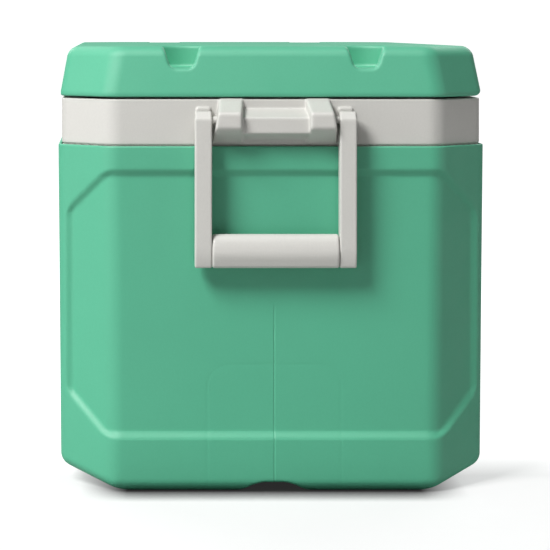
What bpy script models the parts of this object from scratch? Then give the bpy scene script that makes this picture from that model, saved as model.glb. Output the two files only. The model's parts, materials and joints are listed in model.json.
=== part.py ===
"""Insulated ice chest with a foam-filled lid, swing-down bail handles and a drain.

Built in metres, +Z up, standing on z = 0 with its length along X and its front facing -Y.
The dimensions below are in millimetres, and the helpers turn them into metres.
"""

import math

import bmesh
import bpy
from mathutils import Matrix, Vector

MM = 0.001
GAP = 0.3  # clearance between neighbouring pieces
REACH = 360.0  # how far a cutter runs to pass right through the body
WALL = 3.0  # moulded skin thickness

# Outer shell
BODY_HALF_LENGTH = 340.0
BODY_HALF_WIDTH = 206.7
BODY_TOP = 331.2
DRAFT = 0.0082
CORNER_X = 45.8
CORNER_Y = 49.2
BEND_RADIUS = 8.0
SIDE_BEND_RADIUS = 18.0
FOOT_FILLET = 16.0
UNDERCUT_INNER = 143.0  # where the bevel under each long side leaves the floor
UNDERCUT_SLOPE = 0.31
CHANNEL_HALF = 30.0
CHANNEL_ROOF_HALF = 16.0
CHANNEL_HEIGHT = 9.0

# Recessed panel that wraps over the corners at each end
PANEL_DEPTH = 4.0
PANEL_EDGE = 8.6  # width of the sloping step
PANEL_LOW, PANEL_HIGH = 49.6, 308.0
PANEL_SIDE_LOW, PANEL_SIDE_HIGH = 91.0, 266.0
PANEL_HALF_END = 161.5
PANEL_HALF_SIDE = 196.0

# Drain recess and fittings
RECESS_HALF = 64.0
RECESS_TOP = 121.0
RECESS_CORNER = 22.0
RECESS_FLOOR_X = -318.0
DRAIN_Z = 57.0
DRAIN_BORE = 7.5
DRAIN_TUBE = 10.0
DRAIN_FLANGE = 13.0
DRAIN_FLANGE_X = -285.0
DRAIN_TUBE_LENGTH = 46.0
SUMP_RADIUS = 14.5
SUMP_FACE_X = -289.3
NUT_RADIUS, NUT_THICK = 17.0, 5.0
CAP_LENGTH = 10.0

# Collar
COLLAR_HALF_LENGTH = 336.6
COLLAR_HALF_WIDTH = 203.3
COLLAR_LOW = 319.0
COLLAR_TOP = 374.6
COLLAR_CORNER_Y = 47.3
OPENING_HALF_LENGTH = 300.0
OPENING_HALF_WIDTH = 168.0
SKIRT_LOW = 350.0
OPENING_CORNER = 34.0

# Bracket and bail handle
PIVOT_X = 350.0
PIVOT_Z = 354.5
EAR_INNER = 29.8
EAR_OUTER_TOP, EAR_OUTER_LOW = 52.6, 59.9
EAR_FACE_X = 364.0
EAR_FACE_LOW, EAR_FACE_TOP = 346.5, 361.5
RIB_HALF = 33.0  # its ends run into the ears
RIB_FACE_X = 356.0
RIB_FACE_LOW, RIB_FACE_TOP = 342.0, 357.0
RIB_ROOT_LOW, RIB_ROOT_TOP = 335.0, 365.0
PAD_FACE_X = 341.2
PAD_LOW, PAD_TOP = 344.5, 366.0
ARM_INNER = 60.3
ARM_WIDTH = 16.0
ARM_BACK_X, ARM_FRONT_X = 344.0, 358.0
EYE_RADIUS = 8.5
ARM_SHOULDER_Z = 355.5  # where the arm leans back towards its top
HANDLE_LOW = 215.0
GRIP_TOP = 246.8
GRIP_BACK_X, GRIP_FRONT_X = 338.0, 360.0
CORE_HALF = 5.0
PIVOT_RADIUS = 3.5
PIVOT_DEPTH = 42.0

# Liner
LINER_WALL = 2.5
LINER_TOP_HALF_LENGTH, LINER_TOP_HALF_WIDTH = 299.0, 167.0
LINER_FLOOR_HALF_LENGTH, LINER_FLOOR_HALF_WIDTH = 289.0, 157.0
LINER_FLOOR = 42.0
LINER_FILLET = 14.0

# Lid
LID_HALF_LENGTH = 338.0
LID_HALF_WIDTH = 204.5
LID_LOW = 375.4
LID_TOP = 424.2
LID_SLOPE = 0.18
LID_CORNER_Y = 46.5
LID_FILLET = 10.0
LID_LIP = 3.0
CUP_X, CUP_Y = 276.0, 88.0
CUP_RADIUS = 42.0
CUP_FLOOR = 402.7
NOTCH_TOP_HALF, NOTCH_LOW_HALF = 17.5, 10.5
PLUG_LOW = 352.0
FLANGE_LOW, FLANGE_TOP = 375.7, 380.7
SEAL_INNER_X, SEAL_INNER_Y = 302.0, 170.0
SEAL_WIDTH = 7.0
SEAL_CORNER = 36.0

# Hinges
HINGE_Y = 195.0
HINGE_Z = 384.5
HINGE_XS = (-200.0, 0.0, 200.0)
LID_BACK_RADIUS = 9.5
KNUCKLE = 6.0
HINGE_PIN = 2.5
LEAF_HALF = 25.0
LEAF_THICK = 3.0
LEAF_FRONT_Y, LEAF_BACK_Y = 186.0, 203.0
POCKET_HALF = 26.5
POCKET_FRONT_Y = 184.0
POCKET_TOP = 398.3
SCREW_X, SCREW_Y = 20.0, 192.0

MINT = (0.178, 0.485, 0.325)
OFF_WHITE = (0.66, 0.65, 0.61)
LINER_WHITE = (0.78, 0.79, 0.78)
FOAM = (0.80, 0.72, 0.50)
RUBBER = (0.045, 0.045, 0.048)
GREY = (0.33, 0.34, 0.34)
STEEL = (0.60, 0.60, 0.58)

for stale in list(bpy.data.objects):
    bpy.data.objects.remove(stale, do_unlink=True)

chest = bpy.data.collections.new("ice_chest")
cutters = bpy.data.collections.new("cutters")
bpy.context.scene.collection.children.link(chest)
bpy.context.scene.collection.children.link(cutters)
cutters.hide_render = True


# ---------------------------------------------------------------- helpers


def metres(points):
    return [Vector(point) * MM for point in points]


def add(name, mesh, colour=None, roughness=0.5, metallic=0.0):
    """An object of the chest when it has a colour, otherwise a cutter."""
    obj = bpy.data.objects.new(name, mesh)
    if colour is None:
        cutters.objects.link(obj)
        obj.hide_render = True
        obj.display_type = "WIRE"
        return obj
    chest.objects.link(obj)
    material = bpy.data.materials.new(name)
    material.use_nodes = True
    shader = material.node_tree.nodes["Principled BSDF"]
    shader.inputs["Base Color"].default_value = (*colour, 1.0)
    shader.inputs["Roughness"].default_value = roughness
    shader.inputs["Metallic"].default_value = metallic
    material.diffuse_color = (*colour, 1.0)
    mesh.materials.append(material)
    return obj


def mesh_from(name, bm):
    bmesh.ops.recalc_face_normals(bm, faces=bm.faces)
    mesh = bpy.data.meshes.new(name)
    bm.to_mesh(mesh)
    bm.free()
    mesh.shade_smooth()
    mesh.set_sharp_from_angle(angle=math.radians(30.0))
    return mesh


def loft(name, rings, **look):
    """A closed skin over rings that hold the same number of points."""
    bm = bmesh.new()
    rows = [[bm.verts.new(point) for point in metres(ring)] for ring in rings]
    for low, high in zip(rows, rows[1:]):
        for i, start in enumerate(low):
            j = (i + 1) % len(low)
            bm.faces.new((start, low[j], high[j], high[i]))
    bm.faces.new(rows[0])
    bm.faces.new(rows[-1])
    return add(name, mesh_from(name, bm), **look)


def prism(name, outline, axis, low, high, **look):
    """A flat outline pushed along X, Y or Z. The outline holds the other two coordinates in order."""

    def place(a, b, along):
        return {"X": (along, a, b), "Y": (a, along, b), "Z": (a, b, along)}[axis]

    bm = bmesh.new()
    face = bm.faces.new([bm.verts.new(p) for p in metres([place(a, b, low) for a, b in outline])])
    pushed = bmesh.ops.extrude_face_region(bm, geom=[face])["geom"]
    move = Vector(place(0, 0, high - low)) * MM
    moved = [item for item in pushed if isinstance(item, bmesh.types.BMVert)]
    bmesh.ops.translate(bm, verts=moved, vec=move)
    return add(name, mesh_from(name, bm), **look)


def box(name, low, high, **look):
    low, high = metres([low, high])
    bm = bmesh.new()
    bmesh.ops.create_cube(bm, size=1.0)
    bmesh.ops.scale(bm, verts=bm.verts, vec=high - low)
    bmesh.ops.translate(bm, verts=bm.verts, vec=(low + high) / 2)
    return add(name, mesh_from(name, bm), **look)


def turned(name, profile, origin, direction, steps=24, **look):
    """A profile of (radius, height) points spun about a line through origin along direction."""
    mesh = bpy.data.meshes.new(name)
    points = metres([(radius, 0, height) for radius, height in profile])
    edges = [(i, i + 1) for i in range(len(points) - 1)]
    if profile[0] == profile[-1]:
        points.pop()
        edges[-1] = (len(points) - 1, 0)
    mesh.from_pydata(points, edges, [])
    obj = add(name, mesh, **look)
    obj.location = Vector(origin) * MM
    obj.rotation_euler = Vector(direction).to_track_quat("Z", "Y").to_euler()
    spin = obj.modifiers.new("spin", "SCREW")
    spin.steps = steps
    spin.render_steps = steps
    spin.use_merge_vertices = True
    spin.merge_threshold = 1e-5
    spin.use_normal_flip = True
    return obj


def rod(name, radius, start, end, steps=24, **look):
    span = Vector(end) - Vector(start)
    profile = [(0, 0), (radius, 0), (radius, span.length), (0, span.length)]
    return turned(name, profile, start, span, steps, **look)


def tube(name, inner, outer, start, end, steps=24, **look):
    span = Vector(end) - Vector(start)
    length = span.length
    profile = [(inner, 0), (outer, 0), (outer, length), (inner, length), (inner, 0)]
    return turned(name, profile, start, span, steps, **look)


def boolean(obj, other, operation):
    modifier = obj.modifiers.new(operation.lower(), "BOOLEAN")
    modifier.operation = operation
    modifier.solver = "EXACT"
    modifier.object = other


def cut(obj, *others):
    for other in others:
        boolean(obj, other, "DIFFERENCE")
    return obj


def join(obj, *others):
    for other in others:
        boolean(obj, other, "UNION")
    return obj


def arc(centre, radius, start, end, steps):
    """Points of an arc in degrees, both ends included."""
    angles = [math.radians(start + (end - start) * i / steps) for i in range(steps + 1)]
    return [(centre[0] + radius * math.cos(a), centre[1] + radius * math.sin(a)) for a in angles]


# ---------------------------------------------------------------- outlines

CORNER_ANGLE = math.atan2(CORNER_X, CORNER_Y)
COS_CORNER, SIN_CORNER = math.cos(CORNER_ANGLE), math.sin(CORNER_ANGLE)


def corner_distance(end, side, corner_y=CORNER_Y):
    """How far the corner face lies from the middle, for the given end and side faces."""
    return COS_CORNER * end + SIN_CORNER * (side - corner_y)


def bend(angle_a, far_a, angle_b, far_b, radius, steps):
    """The rounded bend between two faces given by their normals' angles and distances."""
    cos_a, sin_a = math.cos(angle_a), math.sin(angle_a)
    cos_b, sin_b = math.cos(angle_b), math.sin(angle_b)
    a, b = far_a - radius, far_b - radius
    turn = cos_a * sin_b - sin_a * cos_b
    centre = ((a * sin_b - b * sin_a) / turn, (b * cos_a - a * cos_b) / turn)
    return arc(centre, radius, math.degrees(angle_a), math.degrees(angle_b), steps)


def octagon(z, end, front, back, corner_front, corner_back, radius, steps=2):
    """A ring with two ends, a front, a back and four corner faces."""
    right = math.pi
    faces = [
        (0.0, end),
        (CORNER_ANGLE, corner_back),
        (right / 2, back),
        (right - CORNER_ANGLE, corner_back),
        (right, end),
        (right + CORNER_ANGLE, corner_front),
        (1.5 * right, front),
        (2 * right - CORNER_ANGLE, corner_front),
        (2 * right, end),
    ]
    ring = []
    for (angle_a, far_a), (angle_b, far_b) in zip(faces, faces[1:]):
        ring += bend(angle_a, far_a, angle_b, far_b, radius, steps)
    return [(x, y, z) for x, y in ring]


def even_octagon(z, end, side, inset_end, inset_side, radius, corner_y=CORNER_Y, steps=2):
    """An octagon whose corner faces move in with its ends."""
    corner = corner_distance(end, side, corner_y) - inset_end
    side_now = side - inset_side
    return octagon(z, end - inset_end, side_now, side_now, corner, corner, radius, steps)


def rounded_rectangle(z, half_x, half_y, radius, steps=4):
    ring = []
    for quarter, (sx, sy) in enumerate(((1, 1), (-1, 1), (-1, -1), (1, -1))):
        centre = (sx * (half_x - radius), sy * (half_y - radius))
        ring += arc(centre, radius, 90 * quarter, 90 * quarter + 90, steps)
    return [(x, y, z) for x, y in ring]


def body_halves(z):
    lean = DRAFT * (BODY_TOP - z)
    return BODY_HALF_LENGTH - lean, BODY_HALF_WIDTH - lean


# ---------------------------------------------------------------- outer shell


def panel_half(z, inset):
    """Half-width of the end panel's octagon at height z, drawn in by inset."""
    low, high = PANEL_LOW + inset, PANEL_HIGH - inset
    z = min(max(z, low), high)
    half_end, half_side = PANEL_HALF_END, PANEL_HALF_SIDE
    low_run = (half_side - half_end) / (PANEL_SIDE_LOW - PANEL_LOW)
    high_run = (half_side - half_end) / (PANEL_HIGH - PANEL_SIDE_HIGH)
    from_low = half_end + (z - low) * low_run
    from_high = half_end + (high - z) * high_run
    return min(from_low, from_high, half_side - inset)


def panel_depth(z):
    return PANEL_DEPTH * max(0.0, min(1.0, (z - PANEL_LOW) / PANEL_EDGE, (PANEL_HIGH - z) / PANEL_EDGE))


def on_corner(distance, y):
    """The point of a corner face at the given y."""
    return ((distance - SIN_CORNER * y) / COS_CORNER, y)


def shell_ring(z, inset=0.0):
    end, side = body_halves(z)
    corner = corner_distance(end, side) - inset
    end -= inset
    side -= inset
    depth = panel_depth(z)
    edge = PANEL_EDGE * depth / PANEL_DEPTH
    quadrant = [(end - depth, 0.0)]
    quadrant += bend(0.0, end - depth, CORNER_ANGLE, corner - depth, BEND_RADIUS, 2)
    quadrant.append(on_corner(corner - depth, panel_half(z, edge)))
    quadrant.append(on_corner(corner, panel_half(z, 0.0) + 0.5))
    quadrant += bend(CORNER_ANGLE, corner, math.pi / 2, side, SIDE_BEND_RADIUS, 3)
    back = quadrant + [(0.0, side)] + [(-x, y) for x, y in reversed(quadrant)]
    front = [(-x, -y) for x, y in back[1:-1]]
    return [(x, y, z) for x, y in back + front]


def fillet_insets(radius, steps):
    """(height, inset) pairs up a rounded lower edge."""
    angles = [math.pi / 2 * i / steps for i in range(steps + 1)]
    return [(radius * (1 - math.cos(a)), radius * (1 - math.sin(a))) for a in angles]


def undercut(name, growth):
    """The bevel under a long side, as a wedge on each side, grown into the body by growth."""
    normal = Vector((-UNDERCUT_SLOPE, 1.0)).normalized() * growth
    wedges = []
    for side in (-1, 1):
        low, far = -4.0 - growth, 225.0
        start = UNDERCUT_INNER + normal.x - 10.0
        rise = normal.y - 10.0 * UNDERCUT_SLOPE
        top = rise + (far - start) * UNDERCUT_SLOPE
        outline = [(side * start, rise), (side * far, top), (side * far, low - 20), (side * start, low - 20)]
        wedges.append(prism(f"{name}_{side}", outline, "X", -REACH, REACH))
    return wedges


def channel(name, growth):
    half, roof = CHANNEL_HALF + growth, CHANNEL_ROOF_HALF + growth
    outline = [(-half - 1, -1.0), (half + 1, -1.0), (roof, CHANNEL_HEIGHT + growth), (-roof, CHANNEL_HEIGHT + growth)]
    return prism(name, outline, "X", -REACH, REACH)


def drain_recess(name, growth):
    half, top = RECESS_HALF + growth, RECESS_TOP + growth
    radius = RECESS_CORNER + growth
    outline = [(-half, -1.0), (half, -1.0)]
    outline += arc((half - radius, top - radius), radius, 0, 90, 5)
    outline += arc((radius - half, top - radius), radius, 90, 180, 5)
    return prism(name, outline, "X", -REACH, RECESS_FLOOR_X + growth)


def cavity(name, gap, top_rings, **look):
    """The space inside the shell, drawn in by gap, closed by the rings handed over for its top."""
    low = WALL + gap
    rings = []
    for height, inset in fillet_insets(10.0, 2):
        end, side = body_halves(low + height)
        inset_end = WALL + PANEL_DEPTH + gap + inset
        rings.append(even_octagon(low + height, end, side, inset_end, WALL + gap + inset, SIDE_BEND_RADIUS))
    end, side = body_halves(312.0)
    rings.append(even_octagon(312.0, end, side, WALL + PANEL_DEPTH + gap, WALL + gap, SIDE_BEND_RADIUS))
    end, side = body_halves(315.0)
    rings.append(even_octagon(315.0, end, side, WALL + gap, WALL + gap, SIDE_BEND_RADIUS))
    space = loft(name, rings + top_rings, **look)
    cut(space, *undercut(name + "_undercut", WALL + gap))
    cut(space, channel(name + "_channel", WALL + gap))
    cut(space, drain_recess(name + "_recess", WALL + gap))
    return space


levels = [(height, inset) for height, inset in fillet_insets(FOOT_FILLET, 3)]
levels += [(z, 0.0) for z in (PANEL_LOW, PANEL_LOW + PANEL_EDGE, PANEL_SIDE_LOW, PANEL_SIDE_HIGH)]
levels += [(z, 0.0) for z in (PANEL_HIGH - PANEL_EDGE, PANEL_HIGH, BODY_TOP - 1.0)]
levels += [(BODY_TOP, 1.0)]
outer_shell = loft("outer_shell", [shell_ring(z, inset) for z, inset in levels], colour=MINT, roughness=0.42)
end, side = body_halves(BODY_TOP + 6.0)
mouth = even_octagon(BODY_TOP + 6.0, end, side, WALL, WALL, SIDE_BEND_RADIUS)
cut(outer_shell, *undercut("shell_undercut", 0.0), channel("shell_channel", 0.0), drain_recess("shell_recess", 0.0))
cut(outer_shell, cavity("shell_cavity", 0.0, [mouth]))

DRAIN_HOLE = DRAIN_TUBE + GAP
drain_bore = rod("drain_bore_cut", DRAIN_HOLE, (-345.0, 0, DRAIN_Z), (-270.0, 0, DRAIN_Z), 32)
cut(outer_shell, drain_bore)

PLUG_XS = (-150.0, 150.0)
PLUG_RADIUS = 8.0
for index, x in enumerate(PLUG_XS):
    roof = CHANNEL_HEIGHT
    cut(outer_shell, rod(f"foam_hole_{index}", PLUG_RADIUS + GAP, (x, 0, roof - 4), (x, 0, roof + 8)))
    profile = [(0, 0), (10.5, 0), (11.5, 1.0), (11.5, 2.0), (PLUG_RADIUS, 2.0), (PLUG_RADIUS, 7.0), (0, 7.0)]
    plug_name = "foam_plug_left" if x < 0 else "foam_plug_right"
    turned(plug_name, profile, (x, 0, roof - 2.3), (0, 0, 1), 24, colour=MINT, roughness=0.5)


# ---------------------------------------------------------------- collar, liner and foam


def collar_ring(z, inset):
    half_x, half_y = COLLAR_HALF_LENGTH, COLLAR_HALF_WIDTH
    return even_octagon(z, half_x, half_y, inset, inset, SIDE_BEND_RADIUS, COLLAR_CORNER_Y)


def opening_ring(z, growth):
    lean = (COLLAR_TOP - z) * 0.04
    half_x = OPENING_HALF_LENGTH - lean + growth
    return rounded_rectangle(z, half_x, OPENING_HALF_WIDTH - lean + growth, OPENING_CORNER + growth)


rim_collar = loft(
    "rim_collar",
    [collar_ring(COLLAR_LOW, 0.0), collar_ring(COLLAR_TOP - 1.0, 0.0), collar_ring(COLLAR_TOP, 1.0)],
    colour=OFF_WHITE,
    roughness=0.45,
)
hollow_rings = [collar_ring(COLLAR_LOW - 5.0, WALL), collar_ring(COLLAR_TOP - WALL, WALL)]
collar_hollow = loft("collar_hollow", hollow_rings)
skirt_rings = [opening_ring(SKIRT_LOW, WALL), opening_ring(COLLAR_TOP, WALL)]
cut(collar_hollow, loft("collar_skirt", skirt_rings))
cut(rim_collar, collar_hollow)
cut(rim_collar, loft("collar_opening", [opening_ring(SKIRT_LOW - 5.0, 0.0), opening_ring(COLLAR_TOP + 5.0, 0.0)]))

for sign in (-1, 1):
    tag = "right" if sign > 0 else "left"
    root_x = COLLAR_HALF_LENGTH - 1.5
    ear_profile = [
        (root_x, COLLAR_TOP - 0.6),
        (COLLAR_HALF_LENGTH, COLLAR_TOP - 0.6),
        (EAR_FACE_X, EAR_FACE_TOP),
        (EAR_FACE_X, EAR_FACE_LOW),
        (COLLAR_HALF_LENGTH, BODY_TOP + 0.5),
        (root_x, BODY_TOP + 0.5),
    ]
    for flank in (-1, 1):
        inner = [(sign * x, flank * (EAR_INNER + 0.1 * (x - COLLAR_HALF_LENGTH)), z) for x, z in ear_profile]
        slant = (EAR_OUTER_LOW - EAR_OUTER_TOP) / (COLLAR_TOP - BODY_TOP)
        outer = [(sign * x, flank * (EAR_OUTER_TOP + slant * (COLLAR_TOP - z)), z) for x, z in ear_profile]
        join(rim_collar, loft(f"ear_{tag}_{flank}", [inner, outer]))
        xs = sorted((sign * root_x, sign * PAD_FACE_X))
        ys = sorted((flank * (ARM_INNER + 0.5), flank * (ARM_INNER + ARM_WIDTH - 2.0)))
        join(rim_collar, box(f"pad_{tag}_{flank}", (xs[0], ys[0], PAD_LOW), (xs[1], ys[1], PAD_TOP)))
        bore_start = (sign * PIVOT_X, flank * PIVOT_DEPTH, PIVOT_Z)
        bore_end = (sign * PIVOT_X, flank * 70.0, PIVOT_Z)
        cut(rim_collar, rod(f"ear_bore_{tag}_{flank}", PIVOT_RADIUS + GAP, bore_start, bore_end, 20))
    rib = [
        (sign * root_x, RIB_ROOT_TOP),
        (sign * COLLAR_HALF_LENGTH, RIB_ROOT_TOP),
        (sign * RIB_FACE_X, RIB_FACE_TOP),
        (sign * RIB_FACE_X, RIB_FACE_LOW),
        (sign * COLLAR_HALF_LENGTH, RIB_ROOT_LOW),
        (sign * root_x, RIB_ROOT_LOW),
    ]
    join(rim_collar, prism(f"rib_{tag}", rib, "Y", -RIB_HALF, RIB_HALF))


def liner_halves(z):
    share = (z - LINER_FLOOR) / (SKIRT_LOW - LINER_FLOOR)
    half_x = LINER_FLOOR_HALF_LENGTH + share * (LINER_TOP_HALF_LENGTH - LINER_FLOOR_HALF_LENGTH)
    half_y = LINER_FLOOR_HALF_WIDTH + share * (LINER_TOP_HALF_WIDTH - LINER_FLOOR_HALF_WIDTH)
    return half_x, half_y


def liner_ring(z, growth, inset=0.0):
    half_x, half_y = liner_halves(z)
    out = growth - inset
    return rounded_rectangle(z, half_x + out, half_y + out, max(OPENING_CORNER + out, 4.0))


LINER_TOP = SKIRT_LOW - GAP
LIP_OUT = 7.0


def tub(name, growth, drop, top, **look):
    """The tub's skin grown outwards, with its outer lip, up to the given height."""
    rings = []
    for height, inset in fillet_insets(LINER_FILLET, 3):
        rings.append(liner_ring(LINER_FLOOR - drop + height, growth, inset))
    lip_low = LINER_TOP - LINER_WALL - (growth - LINER_WALL)
    rings.append(liner_ring(lip_low, growth))
    rings.append(liner_ring(lip_low, growth + LIP_OUT))
    rings.append(liner_ring(top, growth + LIP_OUT))
    return loft(name, rings, **look)


inner_liner = tub("inner_liner", LINER_WALL, LINER_WALL, LINER_TOP, colour=LINER_WHITE, roughness=0.35)
inside = [liner_ring(LINER_FLOOR + height, 0.0, inset) for height, inset in fillet_insets(LINER_FILLET, 3)]

def drain_way(name, radius, face_x):
    """The drain's path outwards: a wide sump as far as face_x, then the bore for the spout."""
    start_x = -262.0
    profile = [
        (0, 0),
        (radius, 0),
        (radius, start_x - face_x),
        (DRAIN_HOLE, start_x - face_x),
        (DRAIN_HOLE, 85.0),
        (0, 85.0),
    ]
    return turned(name, profile, (start_x, 0, DRAIN_Z), (-1, 0, 0), 32)


SUMP_BACK_X = SUMP_FACE_X - WALL
boss_start, boss_end = (SUMP_BACK_X, 0, DRAIN_Z), (-277.0, 0, DRAIN_Z)
join(inner_liner, rod("sump_boss", SUMP_RADIUS + LINER_WALL, boss_start, boss_end, 32))
cut(inner_liner, loft("liner_inside", inside + [liner_ring(LINER_TOP + 5.0, 0.0)]))
cut(inner_liner, drain_way("sump_space", SUMP_RADIUS, SUMP_FACE_X))

foam_top = [
    even_octagon(COLLAR_LOW - GAP - 0.5, *body_halves(COLLAR_LOW), WALL + GAP, WALL + GAP, SIDE_BEND_RADIUS),
    collar_ring(COLLAR_LOW - GAP, WALL + GAP),
    collar_ring(COLLAR_TOP - WALL - GAP, WALL + GAP),
]
body_foam = cavity("body_foam", GAP, foam_top, colour=FOAM, roughness=0.9)
cut(body_foam, tub("foam_tub", LINER_WALL + GAP, LINER_WALL + GAP, LINER_TOP + GAP))
skirt_space = [opening_ring(SKIRT_LOW - 4.0, WALL + GAP), opening_ring(COLLAR_TOP + 4.0, WALL + GAP)]
cut(body_foam, loft("foam_mouth", skirt_space))
cut(body_foam, drain_way("sump_room", SUMP_RADIUS + LINER_WALL + GAP, SUMP_BACK_X - GAP))
for index, x in enumerate(PLUG_XS):
    cut(body_foam, rod(f"foam_plug_room_{index}", PLUG_RADIUS + 1.0, (x, 0, 5.0), (x, 0, CHANNEL_HEIGHT + 7.0)))


# ---------------------------------------------------------------- drain


def along_drain(name, profile, start_x, steps=32, **look):
    """A turned fitting on the drain's axis, measured outwards from start_x."""
    return turned(name, profile, (start_x, 0, DRAIN_Z), (-1, 0, 0), steps, **look)


along_drain(
    "drain_spout",
    [
        (DRAIN_BORE, 0),
        (DRAIN_FLANGE - 1.0, 0),
        (DRAIN_FLANGE, 1.0),
        (DRAIN_FLANGE, 2.5),
        (DRAIN_TUBE, 2.5),
        (DRAIN_TUBE, DRAIN_TUBE_LENGTH - 1.0),
        (DRAIN_TUBE - 1.0, DRAIN_TUBE_LENGTH),
        (DRAIN_BORE, DRAIN_TUBE_LENGTH),
        (DRAIN_BORE, 0),
    ],
    DRAIN_FLANGE_X,
    colour=OFF_WHITE,
    roughness=0.5,
)
gasket_x = DRAIN_FLANGE_X - 2.5 - GAP
gasket_end = SUMP_FACE_X + GAP
tube(
    "drain_gasket",
    DRAIN_TUBE + GAP,
    DRAIN_FLANGE,
    (gasket_x, 0, DRAIN_Z),
    (gasket_end, 0, DRAIN_Z),
    32,
    colour=RUBBER,
    roughness=0.8,
)

nut_x = RECESS_FLOOR_X - GAP
hexagon = [(y, z + DRAIN_Z) for y, z in arc((0, 0), NUT_RADIUS, 0, 300, 5)]
drain_nut = prism("drain_nut", hexagon, "X", nut_x - NUT_THICK, nut_x, colour=OFF_WHITE, roughness=0.5)
cut(drain_nut, drain_bore)

anchor_x = nut_x - NUT_THICK - GAP
ANCHOR_THICK = 1.2
cap_x = anchor_x - ANCHOR_THICK - GAP
cap_end = cap_x - CAP_LENGTH
tube_end = DRAIN_FLANGE_X - DRAIN_TUBE_LENGTH
SEAL_THICK = 1.4
LOBES = 12
LOBE_POINTS = 5
CAP_RADIUS = 14.0
KNOB_STEM, KNOB_HEAD = 3.0, 4.6
cap_outline = []
for step in range(LOBES * LOBE_POINTS):
    turn = 2 * math.pi * step / (LOBES * LOBE_POINTS)
    reach = CAP_RADIUS + 0.7 * math.cos(LOBES * turn)
    cap_outline.append((reach * math.cos(turn), DRAIN_Z + reach * math.sin(turn)))
drain_cap = prism("drain_cap", cap_outline, "X", cap_end, cap_x, colour=OFF_WHITE, roughness=0.5)
knob = [
    (0, -1.0),
    (KNOB_STEM, -1.0),
    (KNOB_STEM, 2.0),
    (KNOB_HEAD, 2.4),
    (KNOB_HEAD, 3.2),
    (KNOB_HEAD - 1.0, 4.0),
    (0, 4.0),
]
join(drain_cap, along_drain("cap_knob", knob, cap_end, 20))
cap_inside = tube_end - 2 * GAP - SEAL_THICK
cut(drain_cap, rod("cap_space", DRAIN_TUBE + GAP, (cap_x + 3.0, 0, DRAIN_Z), (cap_inside, 0, DRAIN_Z), 32))
seal_start = tube_end - GAP
rod(
    "drain_cap_seal",
    DRAIN_TUBE - 0.4,
    (seal_start, 0, DRAIN_Z),
    (seal_start - SEAL_THICK, 0, DRAIN_Z),
    32,
    colour=RUBBER,
    roughness=0.8,
)

STRAP_REACH = 17.5
STRAP_HALF = 3.0
strap_end = cap_end - 1.6
drain_tether = tube(
    "drain_tether",
    DRAIN_TUBE + 0.5,
    DRAIN_TUBE + 3.0,
    (anchor_x, 0, DRAIN_Z),
    (anchor_x - ANCHOR_THICK, 0, DRAIN_Z),
    32,
    colour=GREY,
    roughness=0.7,
)
strap_top = DRAIN_Z + STRAP_REACH
join(
    drain_tether,
    box(
        "strap_inner",
        (anchor_x - ANCHOR_THICK, -STRAP_HALF, DRAIN_Z + DRAIN_TUBE + 1.5),
        (anchor_x, STRAP_HALF, strap_top),
    ),
    box("strap_along", (strap_end, -STRAP_HALF, strap_top - 1.5), (anchor_x, STRAP_HALF, strap_top)),
    box("strap_outer", (strap_end, -STRAP_HALF, DRAIN_Z + 4.5), (cap_end - 0.4, STRAP_HALF, strap_top)),
    rod("strap_eye", 6.0, (cap_end - 0.4, 0, DRAIN_Z), (strap_end, 0, DRAIN_Z)),
)
cut(drain_tether, rod("strap_hole", KNOB_STEM + GAP, (cap_end + 2.0, 0, DRAIN_Z), (strap_end - 3.0, 0, DRAIN_Z)))


# ---------------------------------------------------------------- lid


def rounding(radius, into):
    """How far a rounded edge has drawn in, at a distance into its radius."""
    into = max(0.0, min(radius, into))
    return radius - math.sqrt(radius * radius - into * into)


def lid_ring(z, inset=0.0, lip=0.0, back_lip=0.0):
    """The lid's outline at height z, drawn in by inset, and by a further lip at its lower edge."""
    lean = LID_SLOPE * max(0.0, z - HINGE_Z)
    top = rounding(LID_FILLET - inset, z - (LID_TOP - LID_FILLET))
    end = LID_HALF_LENGTH - lean
    side = LID_HALF_WIDTH - lean
    drawn = inset + top
    corner = corner_distance(end, side, LID_CORNER_Y) - drawn
    return octagon(
        z,
        end - drawn - lip,
        side - drawn - lip,
        side - drawn - back_lip,
        corner - lip,
        corner - back_lip,
        SIDE_BEND_RADIUS,
    )


def lid_top_rings(inset):
    """Rings up the lid's sloping sides and over its top edge."""
    radius = LID_FILLET - inset
    heights = [radius * math.sin(math.radians(angle)) for angle in (0, 30, 60, 90)]
    return [lid_ring(LID_TOP - LID_FILLET + height, inset) for height in heights]


LIP_LAND = 2.0
BACK_LAND = 6.0
LID_SKIRT_TOP = FLANGE_TOP + 0.5


def lid_space(name, inset, low, **look):
    """The hollow under the lid's skin, drawn in by inset from its outside."""
    lips = {"inset": inset, "lip": LIP_LAND, "back_lip": BACK_LAND}
    rings = [lid_ring(low, **lips), lid_ring(LID_SKIRT_TOP, **lips), lid_ring(HINGE_Z, inset)]
    space = loft(name, rings + lid_top_rings(inset), **look)
    cut(space, *lid_hollows(name, inset))
    return space


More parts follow.
